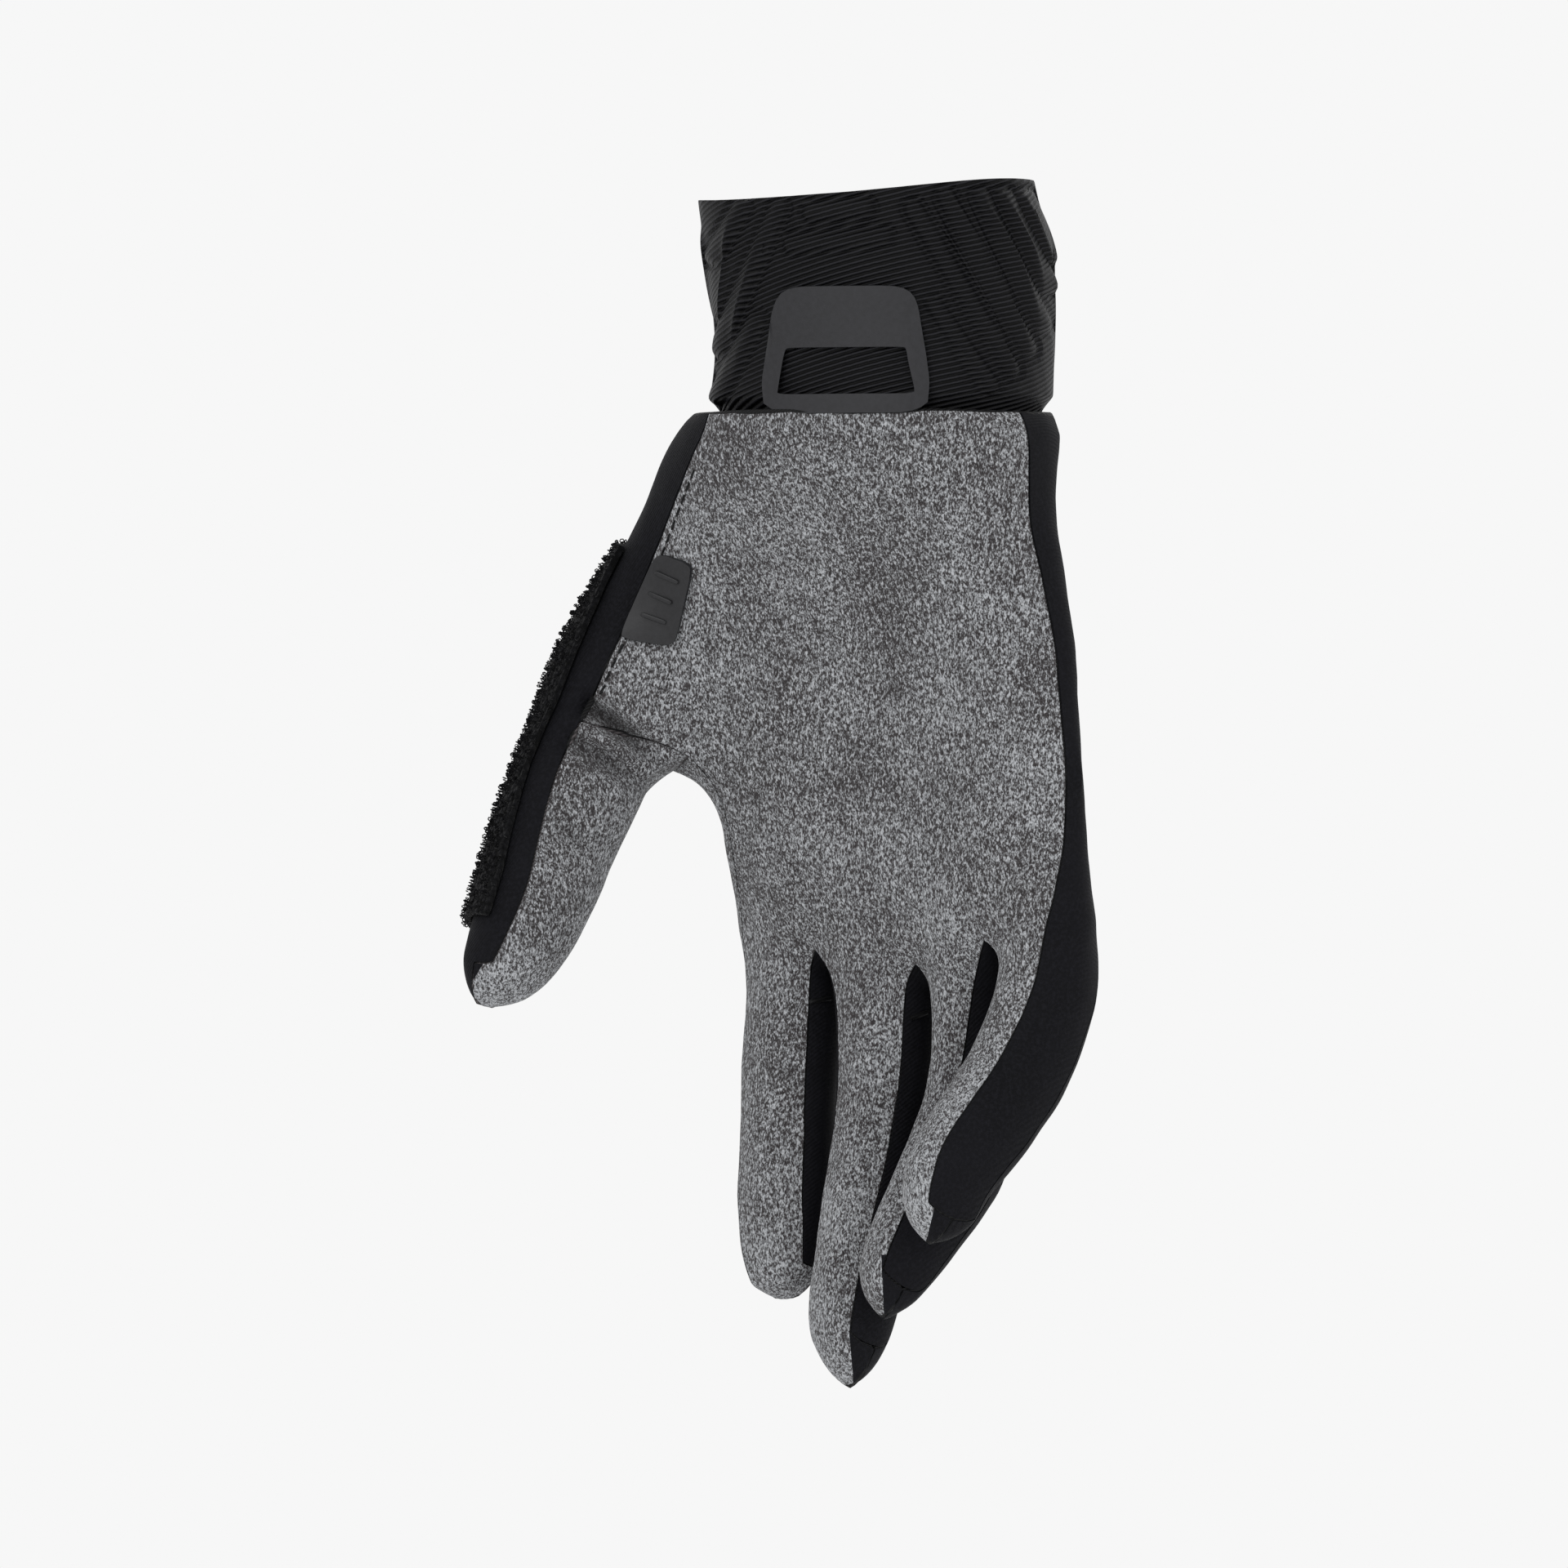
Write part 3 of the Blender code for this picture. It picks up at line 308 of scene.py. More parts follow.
def suede_microfibre(cloth):
    """Sanded microfibre suede, knitted of light and dark fibres: short light flecks on a dark ground."""
    material, tree, output = new_material("suede_microfibre_heathered")
    place = add_node(tree, "ShaderNodeTexCoord").outputs["Object"]
    # Flecks are a fibre bundle wide and about twice as long, down the hand.
    size = 0.95 / cloth.fleck
    warp = add_node(
        tree,
        "ShaderNodeTexNoise",
        {"Scale": size, "Detail": 1.5, "Roughness": 0.55, "Distortion": 0.35},
        {"Vector": scaled_place(tree, place, (1.0, 1.0, 0.55), (0.0, 0.25, 0.0))},
    ).outputs["Fac"]
    fibres = add_node(
        tree,
        "ShaderNodeTexNoise",
        {"Scale": size * 2.1, "Detail": 1.0, "Roughness": 0.6, "Distortion": 0.2},
        {"Vector": scaled_place(tree, place, (1.0, 1.0, 0.5), (0.0, -0.35, 0.0))},
    ).outputs["Fac"]
    # Patches a few centimetres wide, where the nap lies up or down.
    nap = add_node(
        tree,
        "ShaderNodeTexNoise",
        {"Scale": 42.0, "Detail": 3.0, "Roughness": 0.55},
        {"Vector": place},
    ).outputs["Fac"]
    mottled = add_node(
        tree, "ShaderNodeMath", links={0: warp, 1: fibres}, operation="ADD"
    ).outputs[0]
    patched = add_node(
        tree, "ShaderNodeMath", {1: 0.26, 2: -0.13}, {0: nap}, operation="MULTIPLY_ADD"
    ).outputs[0]
    height = add_node(
        tree, "ShaderNodeMath", links={0: mottled, 1: patched}, operation="ADD"
    ).outputs[0]
    half = add_node(
        tree, "ShaderNodeMath", {1: 0.5}, {0: height}, operation="MULTIPLY"
    ).outputs[0]
    # Fingertips are rubbed lighter, and the rubbed share is kept on the mesh.
    worn = add_node(tree, "ShaderNodeAttribute", attribute_name="rubbed").outputs["Fac"]
    rubbed = add_node(
        tree, "ShaderNodeMath", {1: 0.14}, {0: worn, 2: half}, operation="MULTIPLY_ADD"
    ).outputs[0]
    ground, fleck = tuple(cloth.suede_ground), tuple(cloth.suede_fleck)
    colour = ramp(
        tree,
        rubbed,
        (
            (0.36, shade(ground, 0.5)),
            (0.46, ground),
            (0.53, shade(fleck, 0.42)),
            (0.63, fleck),
        ),
    )
    # Painted shade: the suede is darkened down in a fold, whose depth in millimetres is kept on the
    # mesh.
    folded = add_node(tree, "ShaderNodeAttribute", attribute_name="folded").outputs["Fac"]
    fold_shade = add_node(
        tree, "ShaderNodeMath", {1: 0.24}, {0: folded}, operation="MULTIPLY", use_clamp=True
    ).outputs[0]
    colour = mixed(tree, fold_shade, colour, shade(ground, 0.3))
    bump = add_node(
        tree,
        "ShaderNodeBump",
        {"Strength": 0.55, "Distance": 0.00045},
        {"Height": half},
    ).outputs["Normal"]
    surface = add_node(
        tree,
        "ShaderNodeBsdfPrincipled",
        {
            "Roughness": 0.93,
            "Specular IOR Level": 0.15,
            "Sheen Weight": 0.08,
            "Sheen Roughness": 0.6,
        },
        {"Base Color": colour, "Normal": bump},
    )
    tree.links.new(surface.outputs[0], output.inputs["Surface"])
    return material


def twill_lines(tree, place, pitch, turn, sharp):
    """Rows of cords of that pitch: a height from 0 in the grooves to 1 on the cords."""
    # A wave of scale 1 has a line every 0.314 units.
    wave = add_node(
        tree,
        "ShaderNodeTexWave",
        {"Scale": 0.314 / pitch, "Distortion": 0.35, "Detail": 1.0, "Detail Scale": 2.0},
        {"Vector": scaled_place(tree, place, (1.0, 1.0, 1.0), turn)},
        wave_type="BANDS",
        bands_direction="Z",
        wave_profile="SIN",
    ).outputs["Fac"]
    return add_node(tree, "ShaderNodeMath", {1: sharp}, {0: wave}, operation="POWER").outputs[0]


def softshell_twill(cloth):
    """Smooth woven softshell: fine diagonal yarns, matt with a low sheen off its folds."""
    material, tree, output = new_material("softshell_fine_twill")
    place = add_node(tree, "ShaderNodeTexCoord").outputs["Object"]
    # The real yarns are 0.2 mm apart and are drawn at 0.55 mm, so that they show.
    yarn = twill_lines(tree, place, 0.55 * MM, (0.55, 0.75, 0.0), 1.0)
    grain = add_node(
        tree,
        "ShaderNodeTexNoise",
        {"Scale": 1500.0, "Detail": 2.0, "Roughness": 0.6},
        {"Vector": place},
    ).outputs["Fac"]
    body = add_node(
        tree, "ShaderNodeTexNoise", {"Scale": 55.0, "Detail": 2.0}, {"Vector": place}
    ).outputs["Fac"]
    cloth_height = add_node(
        tree, "ShaderNodeMath", links={0: yarn, 1: grain}, operation="ADD"
    ).outputs[0]
    base = tuple(cloth.softshell)
    tone = ramp(tree, body, ((0.3, shade(base, 0.8)), (0.7, shade(base, 1.25))))
    flecked = ramp(tree, grain, ((0.42, (0, 0, 0, 1)), (0.75, (1, 1, 1, 1))))
    colour = mixed(tree, flecked, tone, shade(base, 2.0))
    bump = add_node(
        tree,
        "ShaderNodeBump",
        {"Strength": 0.35, "Distance": 0.0002},
        {"Height": cloth_height},
    ).outputs["Normal"]
    surface = add_node(
        tree,
        "ShaderNodeBsdfPrincipled",
        {
            "Roughness": 0.78,
            "Specular IOR Level": 0.08,
            "Sheen Weight": 0.01,
            "Sheen Roughness": 0.45,
        },
        {"Base Color": colour, "Normal": bump},
    )
    tree.links.new(surface.outputs[0], output.inputs["Surface"])
    return material


def cuff_twill(cloth):
    """Ribbed stretch twill: shiny diagonal cords, painted lighter along their tops as a painted
    highlight, with painted shade in the grooves between them.
    """
    material, tree, output = new_material("cuff_diagonal_twill")
    # The pattern follows the cloth round the wrist, in its own map in metres.
    across = add_node(tree, "ShaderNodeUVMap", uv_map="round_wrist").outputs["UV"]
    lines = add_node(
        tree,
        "ShaderNodeTexWave",
        {"Scale": 0.314 / cloth.twill_pitch, "Distortion": 0.5, "Detail": 1.0, "Detail Scale": 3.0},
        {"Vector": scaled_place(tree, across, (1.0, 1.0, 1.0), (0.0, 0.0, math.radians(-15)))},
        wave_type="BANDS",
        bands_direction="Y",
        wave_profile="SIN",
    ).outputs["Fac"]
    threads = add_node(
        tree,
        "ShaderNodeTexNoise",
        {"Scale": 1400.0, "Detail": 2.0},
        {"Vector": scaled_place(tree, across, (0.35, 1.0, 1.0))},
    ).outputs["Fac"]
    base = tuple(cloth.twill)
    # Painted highlight along each cord and painted shade in each groove, by the cord's height.
    colour = ramp(
        tree, lines, ((0.25, shade(base, 0.2)), (0.6, shade(base, 0.8)), (0.95, shade(base, 3.2)))
    )
    height = add_node(
        tree, "ShaderNodeMath", {1: 0.25}, {0: threads, 2: lines}, operation="MULTIPLY_ADD"
    ).outputs[0]
    bump = add_node(
        tree,
        "ShaderNodeBump",
        {"Strength": 0.8, "Distance": 0.0005},
        {"Height": height},
    ).outputs["Normal"]
    surface = add_node(
        tree,
        "ShaderNodeBsdfPrincipled",
        {"Roughness": 0.5, "Specular IOR Level": 0.1, "Sheen Weight": 0.0},
        {"Base Color": colour, "Normal": bump},
    )
    tree.links.new(surface.outputs[0], output.inputs["Surface"])
    return material


def terry_cotton(cloth):
    """Looped cotton pile: each loop is a dull thread, painted lighter on its top as painted light and
    darker where the pile is deep as painted shade.
    """
    material, tree, output = new_material("terry_cotton_loops")
    place = add_node(tree, "ShaderNodeTexCoord").outputs["Object"]
    pile = add_node(
        tree,
        "ShaderNodeTexVoronoi",
        {"Scale": 900.0, "Randomness": 1.0},
        {"Vector": place},
    ).outputs["Distance"]
    base = tuple(cloth.terry)
    # Painted light on the middle of each loop and painted shade where the pile is deep.
    colour = ramp(tree, pile, ((0.1, shade(base, 1.7)), (0.7, shade(base, 0.4))))
    bump = add_node(
        tree,
        "ShaderNodeBump",
        {"Strength": 1.0, "Distance": 0.0006},
        {"Height": pile},
        invert=True,
    ).outputs["Normal"]
    surface = add_node(
        tree,
        "ShaderNodeBsdfPrincipled",
        {"Roughness": 0.95, "Specular IOR Level": 0.08, "Sheen Weight": 0.04},
        {"Base Color": colour, "Normal": bump},
    )
    tree.links.new(surface.outputs[0], output.inputs["Surface"])
    return material


def moulded(name, base, roughness, grain):
    """A smooth moulded or welded skin with a faint spark-eroded grain."""
    material, tree, output = new_material(name)
    place = add_node(tree, "ShaderNodeTexCoord").outputs["Object"]
    spots = add_node(
        tree,
        "ShaderNodeTexNoise",
        {"Scale": grain, "Detail": 3.0, "Roughness": 0.6},
        {"Vector": place},
    ).outputs["Fac"]
    colour = ramp(tree, spots, ((0.35, shade(base, 0.85)), (0.7, shade(base, 1.2))))
    rough = add_node(
        tree,
        "ShaderNodeMapRange",
        {"To Min": roughness - 0.06, "To Max": roughness + 0.08},
        {"Value": spots},
    ).outputs["Result"]
    bump = add_node(
        tree,
        "ShaderNodeBump",
        {"Strength": 0.25, "Distance": 0.0001},
        {"Height": spots},
    ).outputs["Normal"]
    surface = add_node(
        tree,
        "ShaderNodeBsdfPrincipled",
        {"Specular IOR Level": 0.3, "IOR": 1.5},
        {"Base Color": colour, "Roughness": rough, "Normal": bump},
    )
    tree.links.new(surface.outputs[0], output.inputs["Surface"])
    return material


def polyester_thread(name, base):
    """Twisted polyester sewing thread: dark plies with a slight shine, painted lighter along each ply's
    crest as a painted highlight and darker between plies as painted shade.
    """
    material, tree, output = new_material(name)
    place = add_node(tree, "ShaderNodeTexCoord").outputs["Object"]
    # Plies turn every 0.6 mm.
    plies = twill_lines(tree, place, 0.6 * MM, (0.6, 0.5, 0.0), 1.0)
    # Painted highlight on each ply's crest and painted shade between the plies, by the ply height.
    colour = ramp(tree, plies, ((0.2, shade(base, 0.5)), (0.9, shade(base, 1.8))))
    bump = add_node(
        tree, "ShaderNodeBump", {"Strength": 0.6, "Distance": 0.0002}, {"Height": plies}
    ).outputs["Normal"]
    surface = add_node(
        tree,
        "ShaderNodeBsdfPrincipled",
        {"Roughness": 0.6, "Specular IOR Level": 0.15},
        {"Base Color": colour, "Normal": bump},
    )
    tree.links.new(surface.outputs[0], output.inputs["Surface"])
    return material


def material_named(name, make, *values):
    """The material of that name, made once."""
    found = bpy.data.materials.get(name)
    return found if found else make(*values)


def thread_material(context):
    """The one sewing thread."""
    name = "polyester_sewing_thread"
    return material_named(name, polyester_thread, name, tuple(context.scene.glove_cloth.thread))


def node_copy(node, name):
    """A new object from a CAD node, its loose triangles welded into quads and its cut edges creased."""
    obj = bpy.data.objects.new(name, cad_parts[node].data.copy())
    bpy.context.scene.collection.objects.link(obj)
    obj.data.materials.clear()
    select_only(obj)
    bpy.ops.object.mode_set(mode="EDIT")
    bpy.ops.mesh.select_mode(type="VERT")
    bpy.ops.mesh.select_all(action="SELECT")
    bpy.ops.mesh.remove_doubles(threshold=0.00001)
    bpy.ops.mesh.tris_convert_to_quads(
        face_threshold=math.radians(60), shape_threshold=math.radians(140)
    )
    bpy.ops.mesh.select_all(action="DESELECT")
    bpy.ops.mesh.select_mode(type="EDGE")
    bpy.ops.mesh.edges_select_sharp(sharpness=CUT_EDGE)
    bpy.ops.transform.edge_crease(value=0.85)
    bpy.ops.object.mode_set(mode="OBJECT")
    if obj.data.has_custom_normals:
        bpy.ops.mesh.customdata_custom_splitnormals_clear()
    return obj


def smooth(obj, levels):
    """Subdivides the piece and applies it, then shades it smooth."""
    select_only(obj)
    modifier = obj.modifiers.new("Smooth", "SUBSURF")
    modifier.levels = levels
    modifier.render_levels = levels
    bpy.ops.object.modifier_apply(modifier=modifier.name)
    bpy.ops.object.shade_smooth_by_angle(angle=math.radians(48))


def away_from(x, z, line):
    """Distance from a point to a line of bends, all in millimetres, and how far along it is."""
    best = (1e9, 0.0)
    for index, ((x0, z0), (x1, z1)) in enumerate(zip(line, line[1:])):
        along_x, along_z = x1 - x0, z1 - z0
        share = ((x - x0) * along_x + (z - z0) * along_z) / (along_x ** 2 + along_z ** 2)
        held = min(1.0, max(0.0, share))
        gap = math.hypot(x - x0 - held * along_x, z - z0 - held * along_z)
        best = min(best, (gap, (index + held) / (len(line) - 1)))
    return best


def pressed(point, folds, behind):
    """How far the palm side moves back at this point, in metres; nothing at and past behind."""
    x, y, z = (value / MM for value in point)
    front = min(1.0, max(0.0, (behind - y) / 6.0))
    if front == 0.0:
        return 0.0
    total = 0.0
    for line, width, depth in folds:
        gap, along = away_from(x, z, line)
        if gap < 3 * width:
            ends = math.sin(math.pi * min(0.94, max(0.06, along)))
            total += depth * ends * math.exp(-(gap / width) ** 2)
    return total * front * MM


def worn_place(point, ripple):
    """Where folds, creases and soft waves move a point of the cloth; the same for cloths that meet."""
    move = noise.noise_vector(point * 70.0) * ripple
    move += noise.noise_vector(point * 190.0 + Vector((3.0, 5.0, 7.0))) * ripple * 0.45
    back = pressed(point, THUMB_FOLDS, 22.0) + pressed(point, PALM_FOLDS, -2.0)
    return point + move + Vector((0.0, back, 0.0))


def wear_cloth(obj, ripple):
    """Puts the folds and waves of a worn glove into a piece, and stores each fold's depth for the
    painted shade of the suede in its folds.
    """
    depths = obj.data.attributes.new("folded", "FLOAT", "POINT")
    for vertex, entry in zip(obj.data.vertices, depths.data):
        point = vertex.co.copy()
        entry.value = (pressed(point, THUMB_FOLDS, 22.0) + pressed(point, PALM_FOLDS, -2.0)) / MM
        vertex.co = worn_place(point, ripple)
    obj.data.update()


def cut_panel(node, name, sewing):
    """A smoothed and worn panel; the lines along its cut edges are kept for the seams."""
    piece = node_copy(node, name)
    RIM_LINES[node] = [
        [worn_place(point, sewing.ripple) for point in path] for path in rim_paths(piece)
    ]
    smooth(piece, sewing.levels)
    wear_cloth(piece, sewing.ripple)
    keep_inside(piece)
    return piece


def keep_inside(obj):
    """Holds the piece to the model's own box."""
    low, high = CAD_BOX
    for vertex in obj.data.vertices:
        vertex.co = Vector(
            min(max(value, floor - 0.5 * MM), roof + 0.5 * MM)
            for value, floor, roof in zip(vertex.co, low, high)
        )


def rub_tips(obj):
    """Stores how rubbed the suede is: most on the lowest end of each finger."""
    tips = (
        Vector((-24.0, 8.0, -214.0)) * MM,
        Vector((-3.5, -8.0, -234.0)) * MM,
        Vector((11.5, -31.0, -206.0)) * MM,
        Vector((12.0, -34.0, -196.0)) * MM,
        Vector((24.0, -36.0, -180.0)) * MM,
        Vector((-74.0, 0.0, -160.0)) * MM,
    )
    attribute = obj.data.attributes.new("rubbed", "FLOAT", "POINT")
    for vertex, entry in zip(obj.data.vertices, attribute.data):
        near = min((vertex.co - tip).length for tip in tips)
        entry.value = 0.32 * math.exp(-(near / (13 * MM)) ** 2)


def number_tips(obj, height):
    """Numbers the ends that hang apart below a height, from the thumb side on, on their faces."""
    mesh = obj.data
    links = {}
    for edge in mesh.edges:
        one, two = edge.vertices
        if max(mesh.vertices[one].co.z, mesh.vertices[two].co.z) < height:
            links.setdefault(one, []).append(two)
            links.setdefault(two, []).append(one)
    ends = []
    left = set(links)
    while left:
        first = left.pop()
        end, queue = {first}, [first]
        while queue:
            for other in links[queue.pop()]:
                if other in left:
                    left.discard(other)
                    end.add(other)
                    queue.append(other)
        ends.append(end)
    ends.sort(key=lambda end: sum(mesh.vertices[index].co.x for index in end) / len(end))
    numbers = {index: place + 1 for place, end in enumerate(ends) for index in end}
    marks = mesh.attributes.new("tip", "INT", "FACE")
    for face, mark in zip(mesh.polygons, marks.data):
        mark.value = numbers.get(face.vertices[0], 0)


def finish_piece(obj, material, nodes=()):
    """Gives a piece its material and slot, and ties it to the glove."""
    obj.data.materials.clear()
    obj.data.materials.append(material)
    if nodes:
        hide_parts(*nodes)
    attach(obj, "root")


def nearest_outside(tree, point, normal_side):
    """The nearest point of a cloth and its normal, on the side that faces normal_side."""
    start = point + normal_side * 6 * MM
    hit, normal, _, _ = tree.ray_cast(start, -normal_side, 14 * MM)
    if hit is None:
        hit, normal, _, _ = tree.find_nearest(point)
    return hit, normal


def tree_of(*objects):
    """A search tree over the objects' meshes."""
    points, faces = [], []
    for obj in objects:
        start = len(points)
        points.extend(vertex.co.copy() for vertex in obj.data.vertices)
        faces.extend([start + index for index in face.vertices] for face in obj.data.polygons)
    return BVHTree.FromPolygons(points, faces)


def rim_paths(obj):
    """Lines along the middle of a panel's cut edges, each with its points in order."""
    mesh = obj.data
    edge_faces = {}
    for face in mesh.polygons:
        for key in face.edge_keys:
            edge_faces.setdefault(key, []).append(face.index)
    sharp = set()
    for key, pair in edge_faces.items():
        if len(pair) == 2:
            normals = [mesh.polygons[index].normal for index in pair]
            if normals[0].angle(normals[1], 0.0) > CUT_EDGE:
                sharp.add(key)

    def crosses(face):
        """The two edges across a quad of the cut edge, or nothing."""
        keys = face.edge_keys
        if len(keys) != 4:
            return None
        for first in (0, 1):
            if keys[first] in sharp and keys[first + 2] in sharp:
                pair = (keys[1 - first], keys[3 - first])
                if pair[0] not in sharp or pair[1] not in sharp:
                    return pair
        return None

    strip = {}
    for face in mesh.polygons:
        pair = crosses(face)
        if pair:
            strip[face.index] = pair

    def middle(key):
        return (mesh.vertices[key[0]].co + mesh.vertices[key[1]].co) / 2

    paths, seen = [], set()
    for start in strip:
        if start in seen:
            continue
        seen.add(start)
        sides = []
        for way in (0, 1):
            points, current, key = [], start, strip[start][way]
            while True:
                points.append(middle(key))
                following = [
                    face
                    for face in edge_faces[key]
                    if face != current and face in strip and face not in seen
                ]
                if not following:
                    break
                current = following[0]
                seen.add(current)
                pair = strip[current]
                if key not in pair:
                    break
                key = pair[1] if pair[0] == key else pair[0]
            sides.append(points)
        paths.append(list(reversed(sides[0])) + sides[1])
    return [path for path in paths if len(path) > 4]


def thread_along(name, paths, radius, closed_gap=4 * MM, sides=2):
    """One mesh of round cords along the paths; a path whose ends nearly meet is closed."""
    curve = bpy.data.curves.new(name, "CURVE")
    curve.dimensions = "3D"
    curve.bevel_depth = radius
    curve.bevel_resolution = sides
    curve.use_fill_caps = True
    for path in paths:
        spline = curve.splines.new("POLY")
        spline.points.add(len(path) - 1)
        for point, place in zip(spline.points, path):
            point.co = (*place, 1.0)
        spline.use_cyclic_u = len(path) > 8 and (path[0] - path[-1]).length < closed_gap
        spline.use_smooth = True
    obj = bpy.data.objects.new(name, curve)
    bpy.context.scene.collection.objects.link(obj)
    select_only(obj)
    bpy.ops.object.convert(target="MESH")
    obj = bpy.context.view_layer.objects.active
    bpy.ops.object.shade_smooth_by_angle(angle=math.radians(50))
    return obj


def evened(path, step):
    """The same line with a point every step."""
    result, left = [path[0].copy()], step
    for first, second in zip(path, path[1:]):
        span = (second - first).length
        place = 0.0
        while span - place >= left:
            place += left
            left = step
            result.append(first.lerp(second, place / span))
        left -= span - place
    return result


def joined_copies(name, model, places):
    """One mesh of a modelled shape repeated at each place, and removes the shape."""
    points, faces = [], []
    shape = [vertex.co.copy() for vertex in model.data.vertices]
    sides = [tuple(face.vertices) for face in model.data.polygons]
    for matrix in places:
        start = len(points)
        points.extend(matrix(point) for point in shape)
        faces.extend([start + index for index in side] for side in sides)
    mesh = bpy.data.meshes.new(name)
    mesh.from_pydata(points, [], faces)
    obj = bpy.data.objects.new(name, mesh)
    bpy.context.scene.collection.objects.link(obj)
    bpy.data.objects.remove(model)
    select_only(obj)
    bpy.ops.object.shade_smooth_by_angle(angle=math.radians(60))
    return obj


def placed(origin, along, up, stretch):
    """Moves a shape made along X so that it lies along a line at origin, with its top up."""
    across = up.cross(along).normalized()
    above = along.cross(across).normalized()

    def move(point):
        return (
            origin
            + along * point.x * stretch[0]
            + across * point.y * stretch[1]
            + above * point.z * stretch[2]
        )

    return move


class GlovePieceOperator(bpy.types.Operator):
    """Shared by the operators that make a piece of the glove."""

    bl_options = {"REGISTER", "UNDO"}

    def refuse(self, reason):
        """Stops the script with a reason."""
        raise RuntimeError(f"{self.bl_label}: {reason}")


class GLOVE_OT_sew_suede(GlovePieceOperator):
    """Cuts the grey suede palm and thumb front, folds them and rubs their tips"""

    bl_idname = "glove.sew_suede"
    bl_label = "Suede Palm and Thumb"

    def execute(self, context):
        cloth, sewing = context.scene.glove_cloth, context.scene.glove_sewing
        material = material_named("suede_microfibre_heathered", suede_microfibre, cloth)
        for node in SUEDE_NODES:
            piece = cut_panel(node, f"suede_{node}", sewing)
            rub_tips(piece)
            finish_piece(piece, material, (node,))
            self.turn_tips_black(piece, node, cloth)
        return {"FINISHED"}

    def turn_tips_black(self, piece, node, cloth):
        """Cuts each tip along the line where the black side cloth comes round it."""
        black = material_named("softshell_fine_twill", softshell_twill, cloth)
        piece.data.materials.append(black)
        number_tips(piece, TIP_HEIGHTS[node])
        for home, tip, upper, lower, side in TIP_EDGES:
            if home != node:
                continue
            start = Vector((upper[0], 0.0, upper[1])) * MM
            along = Vector((lower[0] - upper[0], 0.0, lower[1] - upper[1])).normalized()
            across = Vector((-along.z, 0.0, along.x)) * side
            for normal in (across, Vector((0.0, 0.0, 1.0))):
                self.cut_tip(piece, tip, start, normal)
            marks = piece.data.attributes["tip"].data
            for face, mark in zip(piece.data.polygons, marks):
                past = face.center - start
                if mark.value == tip and past.dot(across) > 0 and past.z < 0:
                    face.material_index = 1

    def cut_tip(self, piece, tip, start, normal):
        """Adds the edges where a plane goes through one tip."""
        select_only(piece)
        mesh = piece.data
        mesh.vertices.foreach_set("select", [False] * len(mesh.vertices))
        mesh.edges.foreach_set("select", [False] * len(mesh.edges))
        chosen = [mark.value == tip for mark in mesh.attributes["tip"].data]
        mesh.polygons.foreach_set("select", chosen)
        bpy.context.tool_settings.mesh_select_mode = (False, False, True)
        bpy.ops.object.mode_set(mode="EDIT")
        bpy.ops.mesh.bisect(plane_co=start, plane_no=normal)
        bpy.ops.object.mode_set(mode="OBJECT")


class GLOVE_OT_sew_softshell(GlovePieceOperator):
    """Cuts the black softshell back, side strips and thumb strip"""

    bl_idname = "glove.sew_softshell"
    bl_label = "Softshell Back and Sides"

    def execute(self, context):
        cloth, sewing = context.scene.glove_cloth, context.scene.glove_sewing
        material = material_named("softshell_fine_twill", softshell_twill, cloth)
        for node in SOFTSHELL_NODES:
            piece = cut_panel(node, f"softshell_{node}", sewing)
            finish_piece(piece, material, (node,))
            if node == "index_side_panel":
                self.face_with_suede(piece)
        return {"FINISHED"}

    def face_with_suede(self, piece):
        """The suede is turned round the edge of the index finger, so its palm side is grey."""
        piece.data.materials.append(bpy.data.materials["suede_microfibre_heathered"])
        for face in piece.data.polygons:
            if face.normal.y < -0.02:
                face.material_index = 1


class GLOVE_OT_knit_cuff(GlovePieceOperator):
    """Makes the ribbed twill cuff, with a map in metres round the wrist"""

    bl_idname = "glove.knit_cuff"
    bl_label = "Ribbed Cuff"

    def execute(self, context):
        cloth, sewing = context.scene.glove_cloth, context.scene.glove_sewing
        piece = node_copy("cuff", "ribbed_cuff")
        smooth(piece, sewing.levels + 1)
        self.raise_ribs(piece, sewing)
        low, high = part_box("cuff")
        if high.x - low.x < 10 * MM:
            self.refuse("the cuff has no width")
        centre = (low + high) / 2
        half_x, half_y = (high.x - low.x) / 2, (high.y - low.y) / 2
        girth = math.pi * (half_x + half_y)
        mesh = piece.data
        layer = mesh.uv_layers.new(name="round_wrist")
        for face in mesh.polygons:
            middle = face.center
            main = math.atan2((middle.x - centre.x) / half_x, -(middle.y - centre.y) / half_y)
            for loop in face.loop_indices:
                point = mesh.vertices[mesh.loops[loop].vertex_index].co
                angle = math.atan2((point.x - centre.x) / half_x, -(point.y - centre.y) / half_y)
                while angle - main > math.pi:
                    angle -= 2 * math.pi
                while main - angle > math.pi:
                    angle += 2 * math.pi
                layer.data[loop].uv = (angle / (2 * math.pi) * girth, point.z)
        material = material_named("cuff_diagonal_twill", cuff_twill, cloth)
        finish_piece(piece, material, ("cuff",))
        return {"FINISHED"}


    def raise_ribs(self, piece, sewing):
        """Lifts the padded ribs off the palm side, with a stitched-down groove round each."""
        moves = []
        for vertex in piece.data.vertices:
            normal = vertex.normal
            if normal.y > -0.12:
                continue
            x, z = vertex.co.x / MM, vertex.co.z / MM
            gap = min(away_from(x, z, line)[0] for line in CUFF_RIBS)
            if gap < 1.7:
                lift = sewing.rib_height * math.cos(gap / 1.7 * math.pi / 2) ** 0.7
            elif gap < 3.0:
                lift = -0.5 * sewing.rib_height * math.sin((gap - 1.7) / 1.3 * math.pi)
            else:
                continue
            moves.append((vertex.index, normal * lift))
        for index, move in moves:
            piece.data.vertices[index].co += move
        piece.data.update()


